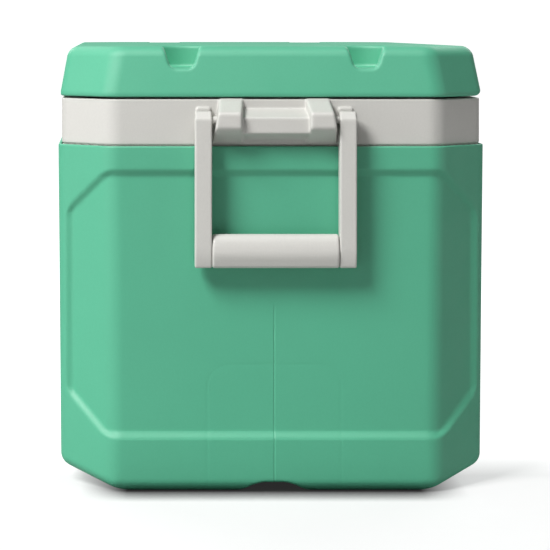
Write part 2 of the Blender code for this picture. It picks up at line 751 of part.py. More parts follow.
def lid_hollows(name, growth):
    """Cup holders, their drain notches and the hinge pockets, grown by growth."""
    shapes = []
    low = CUP_FLOOR - growth
    for sx in (-1, 1):
        for sy in (-1, 1):
            tag = f"{name}_{sx}_{sy}"
            cup = (sx * CUP_X, sy * CUP_Y, low)
            radius = CUP_RADIUS + growth
            profile = [(0, 0), (radius - 2.5, 0), (radius, 2.5), (radius, 30.0), (0, 30.0)]
            shapes.append(turned(f"{tag}_cup", profile, cup, (0, 0, 1), 28))
            flare = (NOTCH_TOP_HALF - NOTCH_LOW_HALF) / (LID_TOP - CUP_FLOOR)
            low_half = NOTCH_LOW_HALF + growth
            top_half = low_half + flare * 30.0
            notch = [
                (cup[1] - low_half, low),
                (cup[1] + low_half, low),
                (cup[1] + top_half, low + 30.0),
                (cup[1] - top_half, low + 30.0),
            ]
            xs = sorted((sx * (CUP_X + 20.0), sx * 350.0))
            shapes.append(prism(f"{tag}_notch", notch, "X", *xs))
    for index, x in enumerate(HINGE_XS):
        half = POCKET_HALF + growth
        corner_low = (x - half, POCKET_FRONT_Y - growth, LID_LOW - 10.0)
        shapes.append(box(f"{name}_pocket_{index}", corner_low, (x + half, 220.0, POCKET_TOP + growth)))
    return shapes


lid_heights = (LID_LOW, LID_LOW + 0.9, LID_LOW + LID_LIP, HINGE_Z - 3.5, HINGE_Z)
lid_rings = []
for z in lid_heights:
    back_lip = rounding(LID_BACK_RADIUS, HINGE_Z - z)
    lid_rings.append(lid_ring(z, lip=rounding(LID_LIP, LID_LOW + LID_LIP - z), back_lip=back_lip))
lid_outer = loft("lid_outer", lid_rings + lid_top_rings(0.0), colour=MINT, roughness=0.42)
cut(lid_outer, *lid_hollows("lid_cut", 0.0))
cut(lid_outer, lid_space("lid_space", WALL, LID_LOW - 8.0))


def plug_ring(z, growth):
    lean = (LID_LOW - z) * 0.17
    half_x = OPENING_HALF_LENGTH - 4.0 - lean + growth
    half_y = OPENING_HALF_WIDTH - 4.0 - lean + growth
    return rounded_rectangle(z, half_x, half_y, OPENING_CORNER - 4.0 + growth)


flange_lips = {"inset": WALL + GAP, "lip": LIP_LAND, "back_lip": BACK_LAND}
flange_rings = [lid_ring(FLANGE_LOW, **flange_lips), lid_ring(FLANGE_TOP, **flange_lips)]
lid_liner = loft("lid_liner", flange_rings, colour=LINER_WHITE, roughness=0.4)
for index, x in enumerate(HINGE_XS):
    half = POCKET_HALF + WALL + GAP
    low = (x - half, POCKET_FRONT_Y - WALL - GAP, FLANGE_LOW - 5.0)
    cut(lid_liner, box(f"flange_pocket_{index}", low, (x + half, 220.0, FLANGE_TOP + 5.0)))
PLUG_EDGE = 5.0
plug_rings = [plug_ring(PLUG_LOW, -PLUG_EDGE), plug_ring(PLUG_LOW + 1.5, -1.5), plug_ring(PLUG_LOW + PLUG_EDGE, 0.0)]
join(lid_liner, loft("lid_plug", plug_rings + [plug_ring(FLANGE_LOW + 1.0, 0.0)]))
plug_floor = PLUG_LOW + LINER_WALL
plug_inside = [plug_ring(plug_floor, -PLUG_EDGE - LINER_WALL), plug_ring(plug_floor + 3.0, -LINER_WALL - 1.0)]
plug_inside.append(plug_ring(FLANGE_TOP + 4.0, -LINER_WALL - 1.0))
cut(lid_liner, loft("lid_plug_inside", plug_inside))


def seal_ring(z, growth):
    corner = SEAL_CORNER + growth
    return rounded_rectangle(z, SEAL_INNER_X + growth, SEAL_INNER_Y + growth, corner)


def seal(name, low, high, slack, **look):
    outer = loft(name, [seal_ring(low, SEAL_WIDTH + slack), seal_ring(high, SEAL_WIDTH + slack)], **look)
    cut(outer, loft(name + "_middle", [seal_ring(low - 2.0, -slack), seal_ring(high + 2.0, -slack)]))
    return outer


seal("lid_gasket", COLLAR_TOP + GAP, COLLAR_TOP + 2.8, 0.0, colour=RUBBER, roughness=0.8)
cut(lid_liner, seal("seal_groove", FLANGE_LOW - 4.0, COLLAR_TOP + 2.8 + GAP, GAP))

lid_foam = lid_space("lid_foam", WALL + GAP, FLANGE_TOP + GAP, colour=FOAM, roughness=0.9)
fill_floor = plug_floor + GAP
fill = [plug_ring(fill_floor, -PLUG_EDGE - LINER_WALL - 0.5), plug_ring(fill_floor + 3.0, -LINER_WALL - 1.5)]
fill.append(plug_ring(FLANGE_TOP + 2.0, -LINER_WALL - 1.5))
join(lid_foam, loft("lid_plug_fill", fill))


# ---------------------------------------------------------------- hinges


def cross_slot(name, centre, direction):
    """A cross recess cut into a screw head, its mouth at centre."""
    arm, half = 2.2, 0.55
    outline = [(half, half), (half, arm), (-half, arm), (-half, half), (-arm, half), (-arm, -half)]
    outline += [(-a, -b) for a, b in outline]
    axis = "XYZ"[[abs(part) for part in direction].index(1)]
    along = centre["XYZ".index(axis)]
    sense = direction["XYZ".index(axis)]
    others = [value for index, value in enumerate(centre) if index != "XYZ".index(axis)]
    shifted = [(a + others[0], b + others[1]) for a, b in outline]
    low, high = sorted((along - sense * 1.0, along + sense * 1.0))
    return prism(name, shifted, axis, low, high)


SCREW_SHANK = 1.9
SCREW_HEAD = 3.8
SCREW_HEAD_THICK = 1.4


def screw(name, top, direction, length):
    """A pan-head screw whose head top sits at top and whose tip points along direction."""
    profile = [
        (0, 0),
        (SCREW_HEAD - 0.6, 0),
        (SCREW_HEAD, 0.5),
        (SCREW_HEAD, SCREW_HEAD_THICK),
        (SCREW_SHANK, SCREW_HEAD_THICK),
        (SCREW_SHANK, length - 2.0),
        (0, length),
    ]
    piece = turned(name, profile, top, direction, 12, colour=STEEL, roughness=0.35, metallic=1.0)
    cut(piece, cross_slot(name + "_slot", top, direction))
    return piece


COUNTERBORE = 4.1
SCREW_HOLE = SCREW_SHANK + GAP
SCREW_LENGTH = 13.0
leaf_low = COLLAR_TOP + GAP
leaf_top = leaf_low + LEAF_THICK
ceiling_top = POCKET_TOP - GAP
ceiling_low = ceiling_top - LEAF_THICK
KNUCKLE_INNER = 7.0
KNUCKLE_OUTER = 14.5
WEB_HALF = 4.5
WEB_SHY = 0.6  # how far a web stops short of its knuckle's ends

for index, x in enumerate(HINGE_XS):
    tag = ("left", "middle", "right")[index]
    axis_low = (x - KNUCKLE_INNER, HINGE_Y, HINGE_Z)
    axis_high = (x + KNUCKLE_INNER, HINGE_Y, HINGE_Z)
    pin_hole = rod(
        f"pin_hole_{tag}", HINGE_PIN + GAP, (x - 30.0, HINGE_Y, HINGE_Z), (x + 30.0, HINGE_Y, HINGE_Z), 16
    )

    collar_leaf = box(
        f"hinge_collar_leaf_{tag}",
        (x - LEAF_HALF, LEAF_FRONT_Y, leaf_low),
        (x + LEAF_HALF, LEAF_BACK_Y, leaf_top),
        colour=STEEL,
        roughness=0.4,
        metallic=1.0,
    )
    web_half_x = KNUCKLE_INNER - WEB_SHY
    web_low = (x - web_half_x, HINGE_Y - WEB_HALF, leaf_low + 1.0)
    web_high = (x + web_half_x, HINGE_Y + WEB_HALF, HINGE_Z - 1.0)
    join(collar_leaf, box(f"collar_web_{tag}", web_low, web_high))
    join(collar_leaf, rod(f"collar_knuckle_{tag}", KNUCKLE, axis_low, axis_high, 18))
    cut(collar_leaf, pin_hole)

    lid_leaf = box(
        f"hinge_lid_leaf_{tag}",
        (x - LEAF_HALF, LEAF_FRONT_Y, ceiling_low),
        (x + LEAF_HALF, HINGE_Y + 6.0, ceiling_top),
        colour=STEEL,
        roughness=0.4,
        metallic=1.0,
    )
    for flank in (-1, 1):
        inner_x = x + flank * (KNUCKLE_INNER + GAP)
        outer_x = x + flank * KNUCKLE_OUTER
        xs = sorted((inner_x, outer_x))
        web_top = ceiling_low + 1.0
        side_web = box(
            f"lid_web_{tag}_{flank}",
            (xs[0] + WEB_SHY, HINGE_Y - WEB_HALF, HINGE_Z + 1.0),
            (xs[1] - WEB_SHY, HINGE_Y + WEB_HALF, web_top),
        )
        knuckle = rod(
            f"lid_knuckle_{tag}_{flank}", KNUCKLE, (xs[0], HINGE_Y, HINGE_Z), (xs[1], HINGE_Y, HINGE_Z), 18
        )
        join(lid_leaf, side_web, knuckle)

        hole_x = x + flank * SCREW_X
        for_collar = rod(
            f"collar_screw_hole_{tag}_{flank}", SCREW_HOLE, (hole_x, SCREW_Y, 356.0), (hole_x, SCREW_Y, 379.0), 16
        )
        seat_low = rod(
            f"collar_screw_seat_{tag}_{flank}",
            COUNTERBORE,
            (hole_x, SCREW_Y, leaf_top - 2.0),
            (hole_x, SCREW_Y, leaf_top + 3.0),
            12,
        )
        cut(collar_leaf, for_collar, seat_low)
        cut(rim_collar, for_collar)
        cut(body_foam, for_collar)
        screw_tag = "a" if flank < 0 else "b"
        screw(
            f"hinge_collar_screw_{tag}_{screw_tag}",
            (hole_x, SCREW_Y, leaf_top - 0.3),
            (0, 0, -1),
            SCREW_LENGTH,
        )

        for_lid = rod(
            f"lid_screw_hole_{tag}_{flank}", SCREW_HOLE, (hole_x, SCREW_Y, 390.0), (hole_x, SCREW_Y, 411.0), 16
        )
        seat_high = rod(
            f"lid_screw_seat_{tag}_{flank}",
            COUNTERBORE,
            (hole_x, SCREW_Y, ceiling_low - 3.0),
            (hole_x, SCREW_Y, ceiling_low + 2.0),
            16,
        )
        cut(lid_leaf, for_lid, seat_high)
        cut(lid_outer, for_lid)
        cut(lid_foam, for_lid)
        screw(
            f"hinge_lid_screw_{tag}_{screw_tag}",
            (hole_x, SCREW_Y, ceiling_low + 0.3),
            (0, 0, 1),
            SCREW_LENGTH,
        )
    cut(lid_leaf, pin_hole)
    pin_profile = [
        (0, 0),
        (3.0, 0),
        (3.6, 0.5),
        (3.6, 1.2),
        (HINGE_PIN, 1.2),
        (HINGE_PIN, 31.6),
        (HINGE_PIN - 0.8, 32.4),
        (0, 32.4),
    ]
    turned(
        f"hinge_pin_{tag}",
        pin_profile,
        (x - 16.2, HINGE_Y, HINGE_Z),
        (1, 0, 0),
        16,
        colour=STEEL,
        roughness=0.3,
        metallic=1.0,
    )


# ---------------------------------------------------------------- bail handles

HEEL_TOP = PIVOT_Z + EYE_RADIUS
ARM_OUTER = ARM_INNER + ARM_WIDTH
FOOT_LEAN = 2.4  # how far arms and grip draw in at their lower edge
FOOT_LEAN_Z = 225.5
GRIP_X = (GRIP_BACK_X + GRIP_FRONT_X) / 2
GRIP_ROUND = (GRIP_FRONT_X - GRIP_BACK_X) / 2
GRIP_HALF = ARM_INNER - GAP
GRIP_Z = 230.7
GRIP_SCREW_Y = 40.0
PIN_HEAD = 4.9

arm_profile = [
    (ARM_BACK_X, HANDLE_LOW),
    (ARM_FRONT_X - FOOT_LEAN, HANDLE_LOW),
    (ARM_FRONT_X, FOOT_LEAN_Z),
    (ARM_FRONT_X, ARM_SHOULDER_Z),
    (PIVOT_X + 1.0, HEEL_TOP),
]
start_angle = math.degrees(math.acos((ARM_BACK_X - PIVOT_X) / EYE_RADIUS))
arm_profile += arc((PIVOT_X, PIVOT_Z), EYE_RADIUS, 90, 360 - start_angle, 6)

grip_profile = [
    (GRIP_BACK_X + FOOT_LEAN, HANDLE_LOW),
    (GRIP_FRONT_X - FOOT_LEAN, HANDLE_LOW),
    (GRIP_FRONT_X, FOOT_LEAN_Z),
]
grip_profile += arc((GRIP_X, GRIP_TOP - GRIP_ROUND), GRIP_ROUND, 0, 180, 10)
grip_profile.append((GRIP_BACK_X, FOOT_LEAN_Z))


def mirrored(profile, sign):
    return [(sign * x, z) for x, z in profile]


for sign in (-1, 1):
    tag = "right" if sign > 0 else "left"
    core_low, core_high = sorted((sign * (GRIP_X - CORE_HALF), sign * (GRIP_X + CORE_HALF)))
    handle_frame = box(
        f"handle_frame_{tag}",
        (core_low, -ARM_INNER - 1.0, GRIP_Z - 6.0),
        (core_high, ARM_INNER + 1.0, GRIP_Z + 6.0),
        colour=OFF_WHITE,
        roughness=0.45,
    )
    for flank in (-1, 1):
        ys = sorted((flank * ARM_INNER, flank * ARM_OUTER))
        join(handle_frame, prism(f"arm_{tag}_{flank}", mirrored(arm_profile, sign), "Y", *ys))
        pivot = (sign * PIVOT_X, flank * PIVOT_DEPTH, PIVOT_Z)
        outside = (sign * PIVOT_X, flank * (ARM_OUTER + 5.0), PIVOT_Z)
        seat = (sign * PIVOT_X, flank * (ARM_OUTER - 3.0), PIVOT_Z)
        cut(handle_frame, rod(f"arm_bore_{tag}_{flank}", PIVOT_RADIUS + GAP, pivot, outside, 20))
        cut(handle_frame, rod(f"arm_seat_{tag}_{flank}", PIN_HEAD + GAP, seat, outside, 20))
        side_tag = "front" if flank < 0 else "back"
        shank = ARM_OUTER - 2.7 - PIVOT_DEPTH - GAP
        pin_profile = [
            (0, 0),
            (PIVOT_RADIUS - 0.6, 0),
            (PIVOT_RADIUS, 0.8),
            (PIVOT_RADIUS, shank),
            (PIN_HEAD, shank),
            (PIN_HEAD, shank + 1.9),
            (PIN_HEAD - 0.6, shank + 2.4),
            (0, shank + 2.4),
        ]
        turned(
            f"pivot_pin_{tag}_{side_tag}",
            pin_profile,
            (sign * PIVOT_X, flank * (PIVOT_DEPTH + GAP), PIVOT_Z),
            (0, flank, 0),
            16,
            colour=OFF_WHITE,
            roughness=0.45,
        )

    halves = {"front": 1, "back": -1}
    grips = {}
    for half_name, half_sign in halves.items():
        grip = prism(
            f"grip_{half_name}_{tag}",
            mirrored(grip_profile, sign),
            "Y",
            -GRIP_HALF,
            GRIP_HALF,
            colour=OFF_WHITE,
            roughness=0.5,
        )
        far = sorted((sign * (GRIP_X + half_sign * GAP / 2), sign * (GRIP_X - half_sign * 20.0)))
        cut(grip, box(f"grip_other_{half_name}_{tag}", (far[0], -80, 200), (far[1], 80, 260)))
        room_low = (core_low - GAP, -80, GRIP_Z - 6.0 - GAP)
        room_high = (core_high + GAP, 80, GRIP_Z + 6.0 + GAP)
        cut(grip, box(f"grip_core_{half_name}_{tag}", room_low, room_high))
        grips[half_name] = grip
    for flank in (-1, 1):
        deep = (sign * (GRIP_FRONT_X - 3.0), flank * GRIP_SCREW_Y, GRIP_Z)
        back = (sign * (GRIP_BACK_X - 3.0), flank * GRIP_SCREW_Y, GRIP_Z)
        seat = (sign * (GRIP_BACK_X + 3.2), flank * GRIP_SCREW_Y, GRIP_Z)
        hole = rod(f"grip_screw_hole_{tag}_{flank}", SCREW_HOLE, deep, back, 16)
        cut(grips["front"], hole)
        cut(grips["back"], hole, rod(f"grip_screw_seat_{tag}_{flank}", COUNTERBORE, seat, back, 16))
        cut(handle_frame, hole)
        screw_tag = "a" if flank < 0 else "b"
        head = (sign * (GRIP_BACK_X + 1.0), flank * GRIP_SCREW_Y, GRIP_Z)
        screw(f"grip_screw_{tag}_{screw_tag}", head, (sign, 0, 0), 17.0)


# ---------------------------------------------------------------- joint axes


def hang(axis_name, location, members):
    """An empty on a joint's axis that carries the pieces turning about it."""
    axis = bpy.data.objects.new(axis_name, None)
    chest.objects.link(axis)
    axis.location = Vector(location) * MM
    lift = Matrix.Translation(axis.location)
    for member in members:
        member.parent = axis
        member.matrix_parent_inverse = lift.inverted()


def named(*starts):
    return [piece for piece in chest.objects if piece.name.startswith(starts)]


hang("lid_axis", (0, HINGE_Y, HINGE_Z), named("lid_", "hinge_lid_"))
for sign in (-1, 1):
    tag = "right" if sign > 0 else "left"
    frame = [f"{kind}_{tag}" for kind in ("handle_frame", "grip_front", "grip_back", "grip_screw")]
    hang(f"handle_axis_{tag}", (sign * PIVOT_X, 0, PIVOT_Z), named(*frame))
hang("drain_cap_axis", (tube_end, 0, DRAIN_Z), named("drain_cap", "drain_tether"))
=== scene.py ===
"""Looks of the mint ice chest: skins meshed from rounded solids, and procedural materials."""

import json
import math

import bmesh
import bpy
import numpy as np
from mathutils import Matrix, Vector


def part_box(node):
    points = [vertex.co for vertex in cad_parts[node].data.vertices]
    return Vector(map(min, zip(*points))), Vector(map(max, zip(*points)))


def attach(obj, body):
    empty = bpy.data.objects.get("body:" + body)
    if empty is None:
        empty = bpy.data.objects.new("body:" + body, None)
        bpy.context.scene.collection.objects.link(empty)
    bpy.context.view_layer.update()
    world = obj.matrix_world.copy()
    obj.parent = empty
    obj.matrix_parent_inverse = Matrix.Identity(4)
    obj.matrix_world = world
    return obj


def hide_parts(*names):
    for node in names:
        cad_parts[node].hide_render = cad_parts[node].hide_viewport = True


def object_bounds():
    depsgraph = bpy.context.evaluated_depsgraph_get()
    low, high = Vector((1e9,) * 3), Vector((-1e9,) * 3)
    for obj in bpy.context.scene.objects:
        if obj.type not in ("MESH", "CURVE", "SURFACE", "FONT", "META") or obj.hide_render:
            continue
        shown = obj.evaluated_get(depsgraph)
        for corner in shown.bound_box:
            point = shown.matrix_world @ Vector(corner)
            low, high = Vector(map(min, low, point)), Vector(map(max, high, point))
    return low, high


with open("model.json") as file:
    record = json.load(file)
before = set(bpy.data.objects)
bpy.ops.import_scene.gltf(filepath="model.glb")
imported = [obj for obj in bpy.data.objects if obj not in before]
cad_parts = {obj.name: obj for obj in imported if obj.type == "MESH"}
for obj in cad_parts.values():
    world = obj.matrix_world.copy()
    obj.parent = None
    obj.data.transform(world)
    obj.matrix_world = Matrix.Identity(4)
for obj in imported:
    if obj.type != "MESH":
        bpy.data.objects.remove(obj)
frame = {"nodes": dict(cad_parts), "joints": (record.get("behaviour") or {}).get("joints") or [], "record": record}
cad_low, cad_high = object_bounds()

MM = 0.001


def box_mm(node):
    """A CAD node's lowest and highest corner in millimetres."""
    low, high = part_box(node)
    return np.array(low) / MM, np.array(high) / MM


# ------------------------------------------------------------------ rounded solids
# A solid is a function of x, y, z in millimetres that is negative inside.


def rmax(a, b, radius):
    """Overlap of two solids, its outer edge rounded."""
    corner = np.hypot(np.maximum(a + radius, 0.0), np.maximum(b + radius, 0.0))
    return np.minimum(-radius, np.maximum(a, b)) + corner


def rmin(a, b, radius):
    """Union of two solids, the inner corner between them filleted."""
    return -rmax(-a, -b, radius)


def bent(a, b, radius, cosine):
    """Overlap of two flat faces whose outward directions have the given cosine, rounded to a true arc."""
    u, v = a + radius, b + radius
    round_part = np.sqrt(np.maximum(u * u + v * v - 2.0 * u * v * cosine, 0.0) / (1.0 - cosine * cosine))
    return np.where((u > v * cosine) & (v > u * cosine), round_part, np.maximum(u, v)) - radius


def past(u, v, u0, v0, u1, v1):
    """Distance outside the line from the first point to the second, whose left side is solid."""
    length = math.hypot(u1 - u0, v1 - v0)
    return ((u - u0) * (v1 - v0) - (v - v0) * (u1 - u0)) / length


def smooth_step(t):
    """0 up to t = 0, 1 from t = 1 on, and an even ease between."""
    t = np.clip(t, 0.0, 1.0)
    return t * t * (3.0 - 2.0 * t)


def steps(start, *spans):
    """Grid lines from the start through (end, step) spans that follow one another."""
    lines = []
    for end, step in spans:
        count = max(1, int(round((end - start) / step)))
        lines.extend(np.linspace(start, end, count, endpoint=False))
        start = end
    lines.append(start)
    return np.array(lines)


def both_sides(*spans):
    """Grid lines from 0 through (end, step) spans, and their mirror image on the negative side."""
    lines = steps(0.0, *spans)
    return np.concatenate([-lines[:0:-1], lines])


CORNERS = [(i, j, k) for i in (0, 1) for j in (0, 1) for k in (0, 1)]
RING = ((1, 1), (0, 1), (0, 0), (1, 0))  # the four cells around a grid edge, in order
SLACKS = (0.0, 0.0, 0.0, 0.3, 0.5, 0.5)  # share of its cell that a point may leave it by, step by step
NUDGE, LEAST_SLOPE = 0.02, 1e-4


def project(field, points, low, high):
    """Points moved along the field's slope onto its surface, each kept in or near its own cell."""
    for slack in SLACKS:
        spare = slack * (high - low)
        here = field(*points.T)
        slope = np.empty_like(points)
        for axis in range(3):
            ahead, behind = points.copy(), points.copy()
            ahead[:, axis] += NUDGE
            behind[:, axis] -= NUDGE
            slope[:, axis] = (field(*ahead.T) - field(*behind.T)) / (2 * NUDGE)
        size = np.maximum((slope**2).sum(axis=1), LEAST_SLOPE)
        points = np.clip(points - slope * (here / size)[:, None], low - spare, high + spare)
    return points


def mould(name, field, xs, ys, zs):
    """A mesh of the field's surface, with one vertex in each grid cell that the surface crosses."""
    lines = (xs, ys, zs)
    values = field(*np.meshgrid(xs, ys, zs, indexing="ij", sparse=True))
    inside = np.broadcast_to(values, tuple(map(len, lines))) < 0
    counts = np.zeros([n - 1 for n in inside.shape], np.int8)
    for i, j, k in CORNERS:
        counts += inside[i : i + counts.shape[0], j : j + counts.shape[1], k : k + counts.shape[2]]
    cells = np.argwhere((counts > 0) & (counts < len(CORNERS)))
    index = np.full(counts.shape, -1, np.int32)
    index[tuple(cells.T)] = np.arange(len(cells))
    low = np.stack([line[cells[:, axis]] for axis, line in enumerate(lines)], axis=1)
    high = np.stack([line[cells[:, axis] + 1] for axis, line in enumerate(lines)], axis=1)
    points = project(field, (low + high) / 2, low, high)

    quads = []
    for axis in range(3):
        first, second = (axis + 1) % 3, (axis + 2) % 3
        here = [slice(None)] * 3
        there = [slice(None)] * 3
        here[axis], there[axis] = slice(None, -1), slice(1, None)
        for other in (first, second):
            here[other] = there[other] = slice(1, -1)
        a, b = inside[tuple(here)], inside[tuple(there)]
        edges = np.argwhere(a != b)
        leaving = a[tuple(edges.T)]
        ring = []
        for back_first, back_second in RING:
            cell = edges.copy()
            cell[:, first] += 1 - back_first
            cell[:, second] += 1 - back_second
            ring.append(index[tuple(cell.T)])
        quad = np.stack(ring, axis=1)
        quad[~leaving] = quad[~leaving][:, ::-1]
        quads.append(quad)
    return mesh_object(name, points * MM, np.concatenate(quads))


def weighted_normals(points, quads):
    """Each vertex's mean normal, with large faces counting for more than slivers."""
    corners = points[quads]
    across = np.cross(corners[:, 2] - corners[:, 0], corners[:, 3] - corners[:, 1])
    total = np.zeros_like(points)
    for axis in range(3):
        for turn in range(4):
            total[:, axis] += np.bincount(quads[:, turn], across[:, axis], len(points))
    length = np.linalg.norm(total, axis=1, keepdims=True)
    return total / np.maximum(length, 1e-20)


def mesh_object(name, points, quads):
    """A smooth-shaded object in the scene, from points in metres and four-cornered faces."""
    mesh = bpy.data.meshes.new(name)
    mesh.vertices.add(len(points))
    mesh.vertices.foreach_set("co", np.asarray(points, np.float32).ravel())
    mesh.loops.add(quads.size)
    mesh.loops.foreach_set("vertex_index", np.asarray(quads, np.int32).ravel())
    mesh.polygons.add(len(quads))
    mesh.polygons.foreach_set("loop_start", np.arange(0, quads.size, 4, dtype=np.int32))
    mesh.polygons.foreach_set("use_smooth", np.ones(len(quads), bool))
    mesh.update(calc_edges=True)
    mesh.validate()
    mesh.normals_split_custom_set_from_vertices(weighted_normals(points, quads))
    obj = bpy.data.objects.new(name, mesh)
    bpy.context.scene.collection.objects.link(obj)
    return obj


# ------------------------------------------------------------------ sizes, read from the frame

_, shell_high = box_mm("outer_shell")
collar_low, collar_high = box_mm("rim_collar")
lid_low, lid_high = box_mm("lid_outer")
_, liner_high = box_mm("inner_liner")
plug_low, _ = box_mm("lid_liner")
arm_low, arm_high = box_mm("handle_frame_right")
_, grip_high = box_mm("grip_front_right")
back_grip_low, _ = box_mm("grip_back_right")
nut_low, nut_high = box_mm("drain_nut")
joints = {joint["name"]: joint for joint in frame["joints"]}

RIM_DROP = 2.0  # the shell's rounded rim stays this far under its CAD block
BODY_X, BODY_Y, BODY_TOP = shell_high[0], shell_high[1], shell_high[2] - RIM_DROP
DRAFT = 0.0082  # lean of the body's walls, per mm of height
BODY_CORNER, COLLAR_CORNER, LID_CORNER = 49.2, 47.3, 46.5  # run of the corner face along Y
CORNER_ANGLE = math.atan2(45.8, BODY_CORNER)  # its run along X over its run along Y
COS_CORNER, SIN_CORNER = math.cos(CORNER_ANGLE), math.sin(CORNER_ANGLE)
END_BEND, SIDE_BEND = 26.0, 18.0  # radii of the upright corners
WALL = 3.0


def corner_far(end, side, run=BODY_CORNER):
    """How far out the corner faces stand between the given ends and sides."""
    return COS_CORNER * end + SIN_CORNER * (side - run)


def octagon(x, y, end, side, corner, end_bend, side_bend):
    """Upright faces of the chest: ends, sides and the four corner faces."""
    ax, ay = np.abs(x), np.abs(y)
    slanted = COS_CORNER * ax + SIN_CORNER * ay - corner
    return bent(bent(ax - end, slanted, end_bend, COS_CORNER), ay - side, side_bend, SIN_CORNER)


# ------------------------------------------------------------------ outer shell

PANEL_LOW, PANEL_HIGH, PANEL_SIDE = 54.0, 303.8, 196.0  # recessed end panel
PANEL_TURN_Y = 160.0  # its slanted corners start here
PANEL_TURN_LOW, PANEL_TURN_HIGH = 91.0, 266.0
PANEL_DEPTH, PANEL_STEP, PANEL_BEND = 4.0, 9.6, 4.0  # depth, width of the step and corner radius
BACKING_TOP, BACKING_EASE = 314.0, 3.0  # the wall is thicker behind the panel, up to this height
UNDERCUT_Y, UNDERCUT_SLOPE, UNDERCUT_EASE = 143.0, 0.31, 12.0  # the underside rises beyond this Y
FLOOR_ROUND, FLOOR_WALL = 12.5, 7.0
CHANNEL_FOOT, CHANNEL_ROOF, CHANNEL_HIGH = 30.0, 16.0, 9.0  # half widths and height of the arch below
RECESS_Y, RECESS_TOP, RECESS_CORNER = 64.0, 121.0, 22.0  # drain recess on the -X end
RECESS_FLOOR = nut_high[0] + 0.3
DRAIN_Z = (nut_low[2] + nut_high[2]) / 2
DRAIN_RADIUS, DRAIN_END = 10.3, -250.0
RIM_ROUND = 1.5
SEAM_TOP, SEAM_HALF, SEAM_DEPTH = 175.0, 0.8, 0.5  # mould parting line on the end without the drain
WITNESS_HALF, WITNESS_DEPTH = 1.3, 0.25  # trace of the blanked-off drain insert on that end


def panel_share(y, z):
    """1 inside the recessed end panel, 0 outside it, and a slope between."""
    ay = np.abs(y)
    upper = past(ay, z, PANEL_SIDE, PANEL_TURN_HIGH, PANEL_TURN_Y, PANEL_HIGH)
    lower = past(ay, z, PANEL_TURN_Y, PANEL_LOW, PANEL_SIDE, PANEL_TURN_LOW)
    outline = rmax(z - PANEL_HIGH, PANEL_LOW - z, PANEL_BEND)
    for edge in (ay - PANEL_SIDE, upper, lower):
        outline = rmax(outline, edge, PANEL_BEND)
    return smooth_step(0.5 - outline / PANEL_STEP)


def recess_outline(y, z):
    """Outline of the drain recess, whose blanked-off insert leaves its trace on the other end."""
    return rmax(np.abs(y) - RECESS_Y, z - RECESS_TOP, RECESS_CORNER)


def mould_lines(x, y, z):
    """Depth of the fine parting line and insert trace on the +X end."""
    seam = SEAM_DEPTH * np.clip(1.0 - np.abs(y) / SEAM_HALF, 0.0, 1.0) * (z < SEAM_TOP)
    trace = WITNESS_DEPTH * np.clip(1.0 - np.abs(recess_outline(y, z)) / WITNESS_HALF, 0.0, 1.0)
    return np.where(x > 0, np.maximum(seam, trace), 0.0)


def shell_field(x, y, z):
    """The thin outer shell, open at the top, with its panels, undercut, arch and drain recess."""
    lean = DRAFT * (BODY_TOP - z)
    ay = np.abs(y)
    end, side = BODY_X - lean, BODY_Y - lean
    sunk = PANEL_DEPTH * panel_share(y, z)
    corner = corner_far(end, side) - sunk
    upright = octagon(x, y, end - sunk - mould_lines(x, y, z), side, corner, END_BEND, SIDE_BEND)
    lean_under = math.hypot(1.0, UNDERCUT_SLOPE)
    bevel = (UNDERCUT_SLOPE * (ay - UNDERCUT_Y) - z) / lean_under
    under = rmax(-z, bevel, 2.0)
    undercut_share = smooth_step((ay - UNDERCUT_Y) / UNDERCUT_EASE)
    solid = bent(upright, under, FLOOR_ROUND, UNDERCUT_SLOPE / lean_under * undercut_share)
    slope = math.hypot(CHANNEL_HIGH, CHANNEL_FOOT - CHANNEL_ROOF)
    flank = (CHANNEL_HIGH * (ay - CHANNEL_FOOT) + (CHANNEL_FOOT - CHANNEL_ROOF) * z) / slope
    solid = rmax(solid, -rmax(z - CHANNEL_HIGH, flank, 4.0), 3.0)
    solid = rmax(solid, z - BODY_TOP, RIM_ROUND)

    recess = rmax(recess_outline(y, z), x - RECESS_FLOOR, 4.0)
    solid = rmax(solid, -recess, 2.5)

    deep = WALL + PANEL_DEPTH * smooth_step((BACKING_TOP - z) / BACKING_EASE)
    inner_corner = corner_far(end, side) - deep
    hollow = octagon(x, y, end - deep, side - WALL, inner_corner, END_BEND - WALL, SIDE_BEND - WALL)
    hollow = np.maximum(hollow, under + FLOOR_WALL)
    hollow = np.maximum(hollow, CHANNEL_HIGH + WALL - z)
    hollow = np.maximum(hollow, -(recess - WALL))
    solid = rmax(solid, -hollow, 0.8)
    bore = np.hypot(y, z - DRAIN_Z) - DRAIN_RADIUS
    return np.maximum(solid, -np.maximum(bore, x - DRAIN_END))


shell_skin = mould(
    "shell_skin",
    shell_field,
    both_sides((276.2, 39.4), (330.5, 1.65), (342.1, 0.9)),
    both_sides((2.1, 0.42), (69.3, 1.6), (144.3, 3.0), (198.3, 1.65), (209.3, 0.9)),
    steps(-1.3, (124.3, 1.6), (180.7, 2.35), (262.3, 3.6), (324.4, 1.65), (332.6, 0.8)),
)

# ------------------------------------------------------------------ lid

